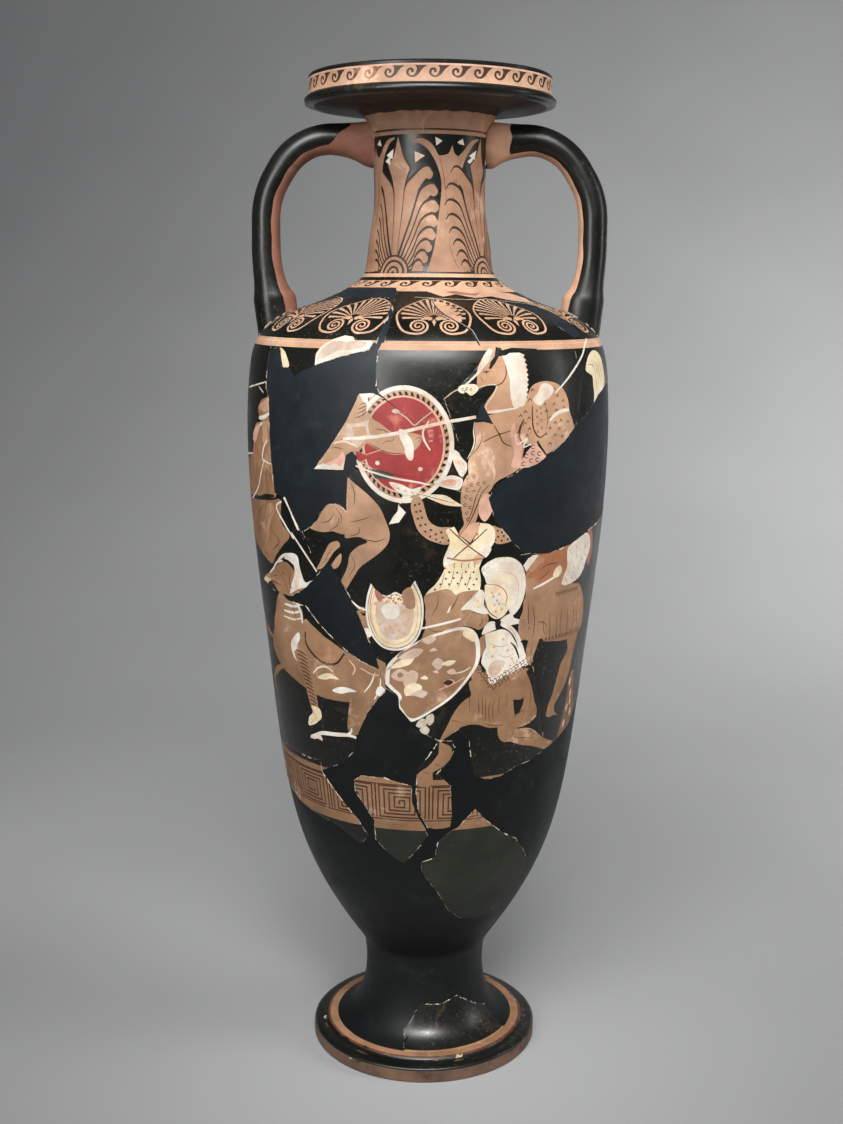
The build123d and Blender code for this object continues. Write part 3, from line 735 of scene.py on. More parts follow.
def amazon(p):
    """A fallen fighter with a spotted cap, spotted sleeves and a belted chiton."""
    p.blob([(-4.8, 531), (-4.2, 539), (-2.6, 540.5), (-1.4, 536), (-0.6, 528), (0.6, 520),
            (3, 515.6), (7, 514.6), (8.4, 508), (6, 501), (2.6, 502.6), (-0.6, 506.6), (-2.8, 513),
            (-4, 522)], "clay")
    p.dots([(-3.6, 533), (-2.4, 534), (-3.2, 527.6), (-2, 528.4), (-2.8, 522), (-1.6, 523),
            (-2, 516.6), (-0.6, 517.4), (-0.6, 511.6), (1, 513), (0.8, 507.4), (2.4, 509.4),
            (2.6, 505), (4, 511), (4.4, 506.6), (6, 509), (6.2, 504.4), (3.8, 503)], "brown", 1.0)
    p.blob([(10.1, 524), (9.5, 537.6), (10.1, 551), (11.8, 558), (15.2, 559), (16.8, 554.6),
            (19.1, 549), (18.4, 544.6), (15.7, 537), (14.9, 527), (13.5, 515), (10.9, 507),
            (9.2, 510.5), (10.6, 517)], "clay")
    p.rings([(11.6, 553), (13.4, 555.4), (12.6, 549), (14.6, 550), (11.2, 545.6), (13.4, 543.6),
             (11, 539.6), (12.6, 537.6), (10.8, 533), (12.4, 531), (11.4, 526.4), (16.4, 550.6),
             (11.8, 521.4)], "brown", 1.1)
    p.fold([(17.6, 548), (15.6, 542), (14.4, 533), (12.6, 521), (10.8, 512)], 0.8, 0.3)
    p.fold([(15.4, 548), (13.8, 538), (13, 529), (11.6, 519)], 0.7, 0.3)
    p.blob([(15.2, 536.4), (17.4, 542), (18.8, 537.6), (18.9, 527), (16.8, 519), (15, 525)], "rose")
    p.area([(9.6, 508), (12, 517), (15.2, 519), (15.2, 513), (12.6, 502)], "tan")
    p.blob([(19.4, 515.4), (21, 513.6), (23, 511.6), (24.8, 506), (26, 502.6), (24, 500.4),
            (20.6, 500.6), (19, 508)], "clay")
    p.dots([(21, 511), (22.4, 509.6), (21.2, 506), (23, 506.4), (22.4, 502.6), (24.4, 503.4),
            (20.4, 503.4)], "brown", 1.0)
    torso = [(7.8, 515.4), (9.5, 507.5), (12.8, 500), (15, 512), (15.4, 518)]
    torso += p.smooth([(15.4, 518), (18, 517), (19.8, 513), (20.2, 503), (18.4, 495), (16.6, 488),
                       (15.6, 480.6)])
    torso += p.smooth([(15.6, 480.6), (11, 480), (7, 480.6), (5, 482.4), (4.8, 489), (5.9, 497),
                       (6.6, 504), (5.3, 513), (7.8, 515.4)])
    p.area(torso, "cream")
    p.blob([(5.2, 484), (5.2, 491), (6.4, 496), (8, 492), (7.6, 486)], "white")
    p.blob([(16, 498), (18.6, 499), (19.2, 495.6), (17.4, 489), (15.4, 492)], "white")
    p.blob([(14, 490), (15.8, 493), (16.6, 488), (15, 483.6), (13.8, 485)], "tan")
    p.fold([(6.4, 514), (9.4, 506), (13, 497.6), (17.4, 489)], 1.0, 0.2)
    p.fold([(17.6, 513), (14.4, 505), (10.4, 496), (7.2, 488)], 1.0, 0.2)
    p.line([(5.8, 490), (10.6, 487.4), (16.6, 488.6)], "orange", 1.6, 0.1)
    p.dots([(12.0, 500.6), (14.6, 509), (9.2, 508)], "orange", 1.3)
    for az in (8.2, 10.4, 12.6, 14.4):
        p.fold([(az, 486), (az - 0.3, 483), (az, 481)], 0.6)
    p.shape("cream",
            [(5.2, 481), (4.2, 475), (2.4, 467.6), (0.4, 462.4), (-0.8, 457.4)],
            [(-0.8, 457.4), (1.6, 461), (4, 463), (7, 463), (9, 458.4), (11, 461.4), (16.2, 461)],
            [(16.2, 461), (16.4, 470), (15.6, 481)])
    p.dots([(6.6, 478), (9, 477.6), (11.6, 478), (14, 477.4), (5.6, 472.6), (8, 473), (10.4, 473),
            (13, 472.6), (15, 471.6), (4, 468), (6.6, 468), (9.2, 468.4), (11.6, 467.6),
            (14.2, 467), (2.4, 463.6), (12.8, 463.4)], "brown", 0.9)
    for az, h in ((4.6, 470), (7.4, 471), (10, 470), (12.6, 470)):
        p.fold([(az + 0.6, h + 8), (az, h), (az - 0.8, h - 6)], 0.5)
    p.line([(9.4, 459), (8, 452), (6.4, 443.6)], "cream", 2.2, 0.4)
    p.blob([(-0.8, 457.6), (2, 461.6), (7, 463.4), (8.4, 456), (6.4, 447), (3, 440), (1, 434),
            (-0.4, 438), (-0.4, 448)], "clay")
    p.blob([(9, 459), (12, 461.6), (16.6, 461), (16.8, 452), (14.4, 444), (11, 440), (8, 441),
            (7.2, 446)], "clay")
    p.fold([(9.6, 459), (8.6, 452), (6.6, 443)], 0.7)
    p.fold([(3.4, 459), (3.2, 450), (1.4, 441)], 0.6)
    p.fold([(13.6, 458), (13.6, 450), (11, 443)], 0.6)
    p.line([(-2.4, 430), (5, 434.5), (11.6, 439)], "white", 2.0, 0.2)


def far_thigh(p):
    """The rider's thigh seen between the two shields."""
    p.area([(0, 455.6), (3.6, 461), (8.2, 461), (10.8, 458), (15.9, 458), (13.8, 444), (11.3, 438.4),
            (11.5, 429.9), (6.7, 425.6), (2, 421), (-0.5, 417), (-1.8, 419.9), (-0.5, 430), (0, 444)],
           "clay")
    p.fold([(0.6, 450), (3, 457.6), (6.6, 459)], 0.7)
    p.line([(9.8, 457), (8.4, 450), (7.2, 444)], "cream", 1.4, 0.3)
    p.fold([(0, 431), (3, 427.6), (8, 429.4), (11, 432)], 0.6)


def bearer_front(p):
    """The bearer's arm and torn cloak, which cover the left of the round shield."""
    p.area([(-20, 619.6), (-17.4, 619.6), (-17.8, 607), (-15.7, 600.6), (-11.7, 592.5),
            (-11, 588.4), (-17, 582.7), (-19.7, 576.3), (-20.5, 568), (-24, 571), (-26, 588)], "clay")
    p.area([(-20, 619.6), (-17.4, 619.6), (-17.4, 611), (-18.6, 613.6)], "white")
    p.area([(-26, 590), (-23.5, 596), (-20, 597), (-17, 600), (-15.8, 593), (-12, 590.6),
            (-12, 588.6), (-17.4, 586), (-20.5, 577), (-23, 584)], "thin")
    p.area([(-22, 593.6), (-18, 595), (-17.5, 588), (-21.5, 586)], "clay")
    for k in range(4):
        p.fold([(-21 + 0.4 * k, 601 + 3.4 * k), (-18.6, 604 + 3 * k), (-17.8, 606.6 + 2 * k)], 0.7,
               0.3)
    p.line([(-28, 580), (-24.6, 582), (-21, 579)], "white", 1.5, 0.2)


def shoulder_wear():
    """Bare clay, grey patches and the crack that runs from the neck to the shoulder's edge."""
    body_paint.fill(plan([(2.2, 94), (7, 96.5), (11, 107), (12.4, 120), (11.4, 133), (8.4, 133),
                          (5.2, 124), (3.4, 109)]), "tan")
    for az, r in ((8.6, 101), (10.2, 108), (11, 115), (11.2, 122)):
        body_paint.fill(plan([(az - 1.6, r + 3.4), (az + 0.8, r - 1.6), (az + 1.3, r + 1.6)]), "gloss")
    crack = [(1.4, 90), (2.6, 101), (3.4, 110), (5.6, 122), (9.4, 132), (13.6, 141), (15.4, 151)]
    body_paint.fill(ribbon(plan(crack), [1.4, 1.0, 1.8, 2.4, 1.6, 2.8, 1.2]), "fill")
    body_paint.fill(ribbon(plan([(az + 0.4, r) for az, r in crack]), [0.5] * 7), "chip")
    body_paint.fill(plan([(43, 100), (48, 93), (56, 94), (60, 104), (60, 147), (54, 148), (49, 136),
                          (46.5, 118)]), "fill")
    body_paint.fill(plan([(-8, 72), (0, 78), (8, 85), (16, 81), (26, 87), (38, 84), (50, 92),
                          (66, 97), (72, 88), (60, 79), (40, 75), (20, 72.5)]), "tan")
    body_paint.fill(plan([(10, 78), (16, 76), (26, 80), (34, 78), (28, 83), (16, 81)]), "flush")
    joint = [(-8, 86), (6, 88), (20, 90), (34, 89), (48, 95), (62, 101), (72, 112), (76, 126)]
    body_paint.fill(ribbon(plan(joint), [0.8, 0.5, 0.9, 0.5, 1.0, 0.7, 1.3, 0.8]), "chip")


def upper_figures(p):
    """The upper register of the front; later figures cover earlier ones."""
    draped_figure(p)
    lunging_legs(p)
    shield_bearer(p)
    round_shield(p)
    bearer_front(p)
    shield_arm(p)
    cantering_horse(p)
    rider(p)
    wing(p)
    far_thigh(p)
    amazon(p)
    shield_sash(p)


# ------------------------------------------------------------------ the figures, lower register
def pelta(p):
    """A crescent shield with a double white edge and a blotched face."""
    def outline(k):
        """The shield's edge, drawn in towards its middle."""
        return [(-9.8 + (az + 9.8) * k, 438 + (h - 438) * k) for az, h in
                p.smooth([(-17.2, 467), (-18.4, 458), (-19.2, 446), (-18.8, 432), (-17, 420),
                          (-14, 412.6), (-10.4, 410.6), (-7, 412.4), (-3.6, 419), (-1.6, 430),
                          (-1.0, 443), (-1.4, 457), (-3.6, 471)])
                + p.smooth([(-3.6, 471), (-5.6, 463), (-7.6, 458.6), (-9.4, 461), (-12, 457.6),
                            (-14.6, 459), (-17.2, 467)])]
    p.area([(-24, 451), (-22, 447), (-19.4, 446), (-19.6, 441), (-22, 443), (-23, 439),
            (-21.4, 430), (-19.6, 423), (-18.6, 419), (-17, 424), (-18.6, 440), (-20, 438.6)],
           "clay")
    p.line([(-24, 451), (-21.6, 446), (-19.2, 444)], "white", 1.6, 0.3)
    p.blob([(-20.4, 427), (-18.8, 428.4), (-17, 424), (-18.6, 420.6), (-20.2, 422.6)], "white")
    for scale, colour in ((1.0, "white"), (0.93, "brown"), (0.91, "cream"), (0.81, "rose"),
                          (0.78, "cream"), (0.66, "thin")):
        p.area(outline(scale), colour)
    p.blob([(-16, 462), (-15.6, 455), (-14.4, 452), (-13.4, 456), (-14.6, 460)], "flush")
    p.blob([(-14, 447), (-12, 451), (-9, 450), (-8.4, 443), (-10, 438), (-13, 439)], "white")
    p.dots([(-14 + 0.75 * k, 453.4 + 2.2 * math.sin(1.9 * k)) for k in range(11)], "orange", 1.0)
    p.dots([(-13.2 + 0.8 * k, 456.6 + 1.6 * math.sin(2.7 * k)) for k in range(9)], "brown", 0.6)
    p.blob([(-7.4, 461), (-5, 465.4), (-3.6, 456), (-3.8, 448), (-6, 447), (-7.2, 453)], "clay")
    for az, h in ((-15.6, 440), (-14.8, 433), (-13, 428.6), (-10.6, 426), (-8.6, 428), (-7, 433),
                  (-5.6, 438), (-7, 445), (-11.6, 430.6), (-16, 450), (-9.4, 432.6), (-12, 452.6)):
        p.blob([(az - 0.6, h), (az, h + 1.8), (az + 0.7, h + 0.2), (az + 0.1, h - 1.5)], "tan")
    p.line([(-16.4, 464), (-17.6, 450), (-17.6, 436), (-15.6, 421)], "orange", 0.8)


def oval_shield(p):
    """A large oval shield lying across the fallen fighter, its white mostly flaked off."""
    p.area([(-16.4, 403), (-13.4, 399.6), (-12.6, 388), (-14.4, 380), (-16, 392)], "clay")
    rim = p.smooth([(-13.4, 389), (-12.8, 397), (-9.6, 406.6), (-5, 415.6), (0, 423),
                    (6, 428.6), (11.6, 431.4), (15, 427.6), (16.8, 419), (17.4, 408),
                    (17, 399), (14.6, 388), (11.6, 378), (8, 368.6), (2.4, 358.6), (-2, 351.6),
                    (-5.4, 348.6), (-7.6, 352), (-9, 360), (-9.4, 371), (-11.6, 376),
                    (-13.6, 381)])
    p.area(rim, "white")
    face = [(2.0 + (az - 2.0) * 0.91, 391 + (h - 391) * 0.93) for az, h in rim]
    p.area(face, "clay")
    p.blob([(-9.6, 405), (-4.8, 414.6), (0, 421), (4.6, 424.6), (0.6, 419), (-3.4, 412),
            (-7.4, 404.6)], "clay")
    flakes = [[(-12, 395), (-8, 403), (-3.6, 408), (-5, 400), (-8.6, 396)],
              [(-9, 404), (-4, 413), (-1, 412), (-3.6, 405)],
              [(-11.6, 388), (-8.4, 395), (-5.6, 391), (-8, 384)],
              [(-7.6, 384), (-5, 394), (-2.8, 392), (-3.6, 382), (-6.2, 378)],
              [(-7.2, 378), (-4.4, 383), (-1.4, 380), (-2.6, 373), (-6.6, 371)],
              [(-5.2, 372), (-2, 377), (0.4, 374.6), (-1.6, 369.4)],
              [(-1.4, 420), (1.4, 424), (3, 422), (0.6, 417)],
              [(1.8, 400), (3.6, 405), (5.6, 401), (4, 394.6)],
              [(4.8, 399.6), (7, 402.6), (9.4, 402), (7.4, 398)],
              [(0.8, 411), (2.4, 414), (3.4, 411.6)],
              [(6.6, 393), (8.6, 395.4), (9.6, 392.6), (8, 390.4)],
              [(2, 393), (3.4, 394.6), (4, 391.6)],
              [(-2, 387), (-0.4, 389.6), (0.6, 386.6)],
              [(5.6, 384.4), (8.4, 386), (9.4, 382.6), (6.4, 380)]]
    for k, flake in enumerate(flakes):
        p.blob(flake, "thin" if k % 4 else "cream")
    for flake in ([(-8.8, 366), (-6, 371.6), (-1, 369), (0, 362.6), (-4, 357), (-7.4, 358)],
                  [(-3, 404), (-1.6, 408), (0, 404), (-1.4, 400)],
                  [(-9.6, 389.6), (-8.4, 392), (-7.4, 389.4), (-8.8, 387)],
                  [(-4, 399), (-3, 402), (-2, 399)]):
        p.blob(flake, "clay")
    p.blob([(5.4, 383), (7, 385.8), (8.8, 384), (7.6, 380.6)], "brown")
    p.line([(8.8, 391), (12, 392.6), (14.4, 396)], "white", 1.0, 0.3)
    p.line([(4, 377), (8, 381), (12.6, 387.4)], "rose", 1.1, 0.2)
    p.blob([(11.8, 429), (13.6, 429.4), (15.6, 424), (15.2, 418), (13.2, 420.6), (11.4, 424.6)],
           "cream")
    for az, h in ((-13, 393), (-9, 407), (-3, 417)):
        p.fold([(az, h), (az + 1.8, h + 4)], 0.7)
    for flake in ([(-3.4, 345), (-1.6, 351.6), (0.4, 350), (-0.6, 343.6)],
                  [(0, 353), (2.2, 356), (2.6, 349), (1, 345.4)],
                  [(-2.2, 342), (0, 345), (1.2, 341.6), (0.2, 337.4), (-1.6, 339)]):
        p.blob(flake, "chip")


def helmet(p):
    """The kneeling warrior's crested helmet."""
    p.blob([(16.4, 480), (18, 484.6), (20.6, 488), (23.6, 488.8), (26.8, 487), (29.4, 482),
            (31, 475), (31.8, 466), (31.8, 456), (31, 448), (29.4, 441), (27.6, 438),
            (26, 445), (24, 456), (20.6, 464), (18.4, 467), (17.6, 472)], "white")
    p.blob([(21, 474), (24, 473), (26.6, 469), (28, 462), (26.6, 463), (24, 468), (21, 469.6)],
           "cream")
    p.line([(22, 477), (26, 474.6), (28.8, 467), (29.4, 456), (28.4, 446)], "rose", 0.7)
    p.blob([(17.8, 466), (20, 467.6), (23, 465.6), (25.6, 461), (27, 453), (26.4, 445), (24.4, 438),
            (22, 436.4), (19.6, 440.6), (18.2, 449), (17.6, 458)], "cream")
    p.line([(18.4, 466.6), (21.4, 465.6), (24, 461.6), (25.4, 455), (25, 447)], "orange", 0.8, 0.3)
    p.blob([(19.4, 459), (21.4, 461), (23.2, 455), (23.6, 447), (21.6, 447), (20, 452)], "white")
    for az, h in ((20.6, 456), (22, 452), (21.2, 448.6), (22.8, 449.4), (20.2, 459), (22.6, 457.4),
                  (23.8, 444.4), (21.8, 443)):
        p.blob([(az - 0.4, h), (az, h + 1.6), (az + 0.5, h), (az, h - 1.4)], "tan")
    p.fold([(17.6, 466), (17.8, 455), (19.6, 443), (22.4, 437.4)], 0.9, 0.2)
    p.blob([(10.4, 446), (13, 453.6), (16.6, 462.4), (17.8, 459), (17.8, 449), (19.4, 441.6),
            (16, 442.6), (13, 446)], "white")
    p.blob([(14.4, 450), (16.4, 455), (17, 449), (15.6, 446)], "cream")
    p.dots([(15.6, 453), (16, 447.6)], "tan", 0.7)


def kneeling_warrior(p):
    """A warrior in a white cuirass, kneeling on one knee with the other leg thrown back."""
    # tunic and the leg drawn up in front
    p.area(p.smooth([(14, 383), (14.4, 377), (15, 371), (13, 367.6), (11, 362.6), (8.6, 353),
                     (7.4, 346), (5.6, 337), (4.6, 331)])
           + p.smooth([(4.6, 331), (7.4, 333.4), (9.4, 338), (12, 343.4)])
           + p.smooth([(12, 343.4), (15, 345), (18.6, 344), (22, 340.6), (25.4, 340),
                       (28.6, 338.6), (33, 336.6), (38.6, 338.4), (42, 343)])
           + p.smooth([(42, 343), (42, 350), (40.4, 358), (39, 368), (37, 379), (34.6, 389)])
           + [(22, 395)], "clay")
    p.shape("clay",
            [(25.4, 341), (25.6, 335), (26.6, 329), (28.4, 325.6), (31, 325), (36, 320),
             (41, 316.6), (46, 312), (50, 308.6), (53, 310), (54, 314)],
            [(54, 314), (50, 317.6), (46, 323), (43, 328.6), (40.6, 332.6), (37, 335), (33, 336.4),
             (32, 340)])
    p.fold([(31.6, 334), (32.4, 329), (36, 326.6), (41, 324)], 0.7)
    p.fold([(36, 335), (40, 331), (43, 326)], 0.5)
    p.area([(30.8, 363), (33.6, 362), (35.6, 363), (35, 356), (34, 350.6), (32, 348.6),
            (31.4, 355)], "gloss")
    for k, (az, h0, h1) in enumerate(((14.6, 372, 356), (17.6, 367, 349), (18.9, 368, 350),
                                      (20.3, 367, 346), (22.0, 366, 345), (23.4, 366, 346),
                                      (25.4, 368, 352), (28, 371, 358), (38, 370, 352))):
        p.fold([(az, h0), (az + 0.5 * math.sin(k), (h0 + h1) / 2), (az + 0.3, h1)], 0.6)
    p.fold([(31, 346), (33, 349), (36, 351.6), (35, 344)], 0.7)
    p.fold([(19, 346), (24, 342), (27.6, 341.6)], 0.6)
    p.fold([(8.6, 350), (11.6, 347.6)], 0.6)
    # throat, far arm and the body of the fighter he bends over
    p.shape("clay",
            [(12, 446), (16, 442), (19, 441), (19.6, 436), (19, 431), (18.6, 426)],
            [(18.6, 426), (18, 430), (16.6, 428), (14, 431), (11, 433), (10.6, 440)])
    p.blob([(16.6, 419), (18.6, 424), (21, 427), (20, 415), (18.6, 407), (17.4, 404)], "clay")
    p.fold([(17.2, 440), (17.6, 434), (16.6, 432), (17.8, 431)], 0.6)
    # cuirass
    p.shape("white",
            [(18.6, 424), (21, 425.4), (24.4, 427), (27, 424), (29.4, 416), (31.4, 408), (34, 399),
             (35.6, 393)],
            [(35.6, 393), (32, 390), (29, 387.4), (26, 384.6), (23, 380), (21.4, 378)],
            [(21.4, 378), (20.6, 386), (19.6, 393), (18, 399), (18.4, 407), (19.4, 413)])
    p.blob([(19, 421), (21, 423.6), (25, 424.6), (24, 420), (20.6, 418)], "cream")
    p.blob([(19.8, 410), (21, 416), (23, 415), (22, 408)], "cream")
    p.blob([(20.6, 395), (23, 400), (26.4, 398), (25, 390), (22.6, 385), (21, 388)], "thin")
    p.line([(21, 415), (24, 412), (27.6, 413)], "tan", 0.8)
    p.line([(24, 405), (26.6, 402), (29.6, 404)], "tan", 0.8)
    p.line([(28, 402), (30, 396), (32, 391)], "tan", 0.8)
    for az, h in ((22, 412), (25, 418), (27, 408), (29, 400), (24.4, 395), (28.4, 394), (31, 397),
                  (21.6, 404), (26.6, 389.6), (23.4, 388.6)):
        p.blob([(az - 0.5, h), (az, h + 1.3), (az + 0.6, h + 0.2), (az, h - 1.2)], "tan")
    p.blob([(23.4, 434), (25, 438), (27.6, 440), (28.4, 436), (31.4, 433), (31.6, 430.6),
            (28.6, 430), (25.4, 428.4), (23.8, 430.6)], "white")
    p.line([(24.6, 431), (27.4, 427), (30, 420), (31.8, 411), (33.4, 402), (35.4, 392)], "white",
           4.4, 0.2)
    p.line([(28, 414.6), (29.8, 410), (31.2, 403), (31.8, 399)], "gloss", 1.7, 0.5)
    p.line([(26, 431), (28.6, 424), (30.8, 415)], "tan", 0.7)
    p.blob([(17.6, 424), (19.6, 434), (21.8, 434), (22.4, 428), (20.4, 426)], "white")
    p.area([(21.8, 433), (22.6, 435.6), (24, 434), (23.6, 429), (22.2, 428)], "gloss")
    # curled fringe under the cuirass
    p.shape("clay",
            [(15.8, 399), (15, 392), (15, 384), (16.4, 376), (18.8, 371), (22, 368.8), (25.6, 371),
             (29, 374.6), (32.4, 380), (36.4, 388.6)],
            [(36.4, 388.6), (33, 390.6), (29.4, 388), (25.6, 384), (22.4, 379), (20.4, 382),
             (18.8, 389), (17.6, 397)])
    for i in range(19):
        s = i / 18
        az = 15.4 + 20.4 * s
        low = 396 - 100 * s + 92 * s * s if s < 0.3 else 371.6 + 18 * (s - 0.3) / 0.7
        for j in range(2):
            h = low + 3.4 + 5.4 * j
            turn = 1 if (i + j) % 2 else -1
            p.fold([(az - 0.5 * turn, h - 2), (az + 0.5, h - 0.4), (az + 0.1 * turn, h + 1.8),
                    (az - 0.6, h + 0.6)], 0.85, 0.2)


def planted_leg(p):
    """The shin and foot that stand on the ground band."""
    p.shape("clay",
            [(4.6, 331), (6.4, 329), (8.6, 326), (9.2, 319), (7.8, 312), (5, 306.6), (2.4, 302.4),
             (2.6, 297), (1.6, 290)],
            [(1.6, 290), (-1.6, 289.6), (-3.4, 292), (-3.2, 299), (-2, 303.6), (0.4, 307.6),
             (2.4, 313), (4.4, 320)])
    p.fold([(4.6, 330.6), (6.6, 331.4), (8.6, 331)], 1.0)
    p.fold([(5, 309), (3, 310.6)], 0.5)
    p.fold([(-1, 303), (1.6, 302.4)], 0.6)


def striding_figure(p):
    """A figure in a short pleated skirt with a cloak and a white fleece, striding away."""
    p.blob([(32, 481), (34, 487), (38, 488), (44, 489), (50, 492), (50, 478), (48.6, 466),
            (44, 457), (38, 454), (33.6, 456), (31.8, 468)], "orange")
    p.area([(31.8, 468), (32.2, 452), (40, 452), (50, 454), (50.6, 470)], "clay")
    p.blob([(60, 497), (64, 499), (66, 490), (66.6, 478), (64.6, 468), (62, 476)], "flush")
    p.blob([(33, 482), (35.6, 487), (38.6, 483), (36, 476), (33, 474)], "clay")
    p.blob([(36, 478), (41, 482), (46, 480), (47, 470), (42, 463), (37, 462), (35, 468)], "orange")
    p.area([(30.4, 480), (32, 485.6), (34, 488), (36, 487.6), (33.6, 480.6), (31.6, 474.6)],
           "white")
    p.fold([(36.6, 474), (40, 478), (45, 478)], 0.8)
    p.fold([(37, 466), (40, 470), (41, 476)], 0.7)
    p.blob([(49, 489), (52, 493.6), (57, 498), (61, 497.6), (63.6, 491), (64, 482), (62, 474),
            (60.4, 466), (58.4, 461), (54, 457.6), (50, 456.4), (47.6, 459), (48.4, 466),
            (49.6, 474), (49, 482)], "white")
    for k, (az, h) in enumerate(((51, 486), (54, 490), (57, 486), (60, 488), (52, 478), (55, 481),
                                 (58, 478), (61, 480), (51, 469), (54, 472), (57, 470), (60, 472),
                                 (50, 462), (53, 464), (56, 462))):
        p.line([(az - 0.8, h + 1.6), (az, h - 1.8), (az + 0.7, h - 2.6)],
               "rose" if k % 3 else "tan", 1.0, 0.4)
    p.line([(35, 459), (39, 462), (43, 465.6), (46, 468)], "white", 2.0, 0.2)
    p.blob([(43, 467), (43.6, 473), (46, 475.6), (47, 470.6), (45.4, 465.6)], "cream")
    p.shape("clay",
            [(33, 456), (31.6, 450), (31.6, 442), (30.6, 433), (30.6, 423), (32, 415)],
            [(32, 415), (35, 414), (38.6, 414), (40.6, 413.6), (42.6, 410), (46, 409),
             (49.6, 407.4), (54, 406.6), (58, 407.4), (61.6, 408.6), (65, 409.6)],
            [(65, 409.6), (66.4, 418), (65.8, 428), (64, 439), (61, 449), (58.4, 455)],
            [(58.4, 455), (52, 457), (46, 455.6), (40, 456.6)])
    for k, (az, h0, h1) in enumerate(((34, 450, 424), (36.2, 444, 416), (41.6, 429, 416),
                                      (44, 436, 412), (47, 434, 411), (50, 438, 411),
                                      (53.6, 436, 410), (57, 438, 411), (60.6, 436, 412),
                                      (63, 430, 414))):
        p.fold([(az - 0.8, h0), (az + 0.7 * math.sin(2.1 * k), (h0 + h1) / 2), (az + 0.5, h1)], 0.7)
    p.fold([(38, 429), (41, 427.6), (42.4, 424)], 0.7)
    for k in range(14):
        az = 41 + 1.75 * k
        p.fold([(az - 0.5, 409.4), (az, 413.6), (az + 0.6, 409.6)], 0.8, 0.2)
    for k in range(10):
        az = 45.6 + 1.3 * k
        p.fold([(az - 0.5, 452.6), (az, 449.2), (az + 0.5, 452.6)], 0.8, 0.2)
    p.area([(31.6, 414.6), (33, 411), (34.6, 414), (33.4, 415.4)], "gloss")
    p.shape("clay",
            [(35, 414.4), (34.4, 407), (34.6, 399), (35.8, 393), (37, 391)],
            [(37, 391), (37.6, 398), (38.6, 405), (39.8, 414)])
    p.fold([(36.8, 411), (36.6, 402), (36.8, 394)], 0.5)
    p.shape("clay",
            [(54.6, 408), (56, 401), (56.4, 396), (54.8, 391), (52.8, 385), (52, 378), (50.8, 368),
             (49.6, 358), (48, 350), (47.4, 341)],
            [(47.4, 341), (49, 338.4), (52, 339), (54.6, 337.6), (52.6, 342), (51.8, 347.6),
             (54, 354), (57.6, 363.6), (60, 374), (60.6, 384), (61.6, 395), (63.6, 409)])
    p.fold([(57.4, 396), (57, 386), (55.6, 376)], 0.6)
    p.fold([(53.6, 362), (51.4, 353)], 0.6)
    # clay at the far right, painted dark as painted shade
    p.blob([(57, 313), (58.6, 328), (60.4, 345), (60.8, 362), (61.4, 372), (64, 374), (65.6, 364),
            (67.4, 351), (69.6, 338), (68.6, 326), (64, 318)], "pink")
    for az, h in ((62, 364), (64, 352), (62, 340), (66, 334), (61, 326), (64.6, 344)):
        p.blob([(az - 0.9, h), (az, h + 4), (az + 1.0, h + 1), (az, h - 4)], "rose")


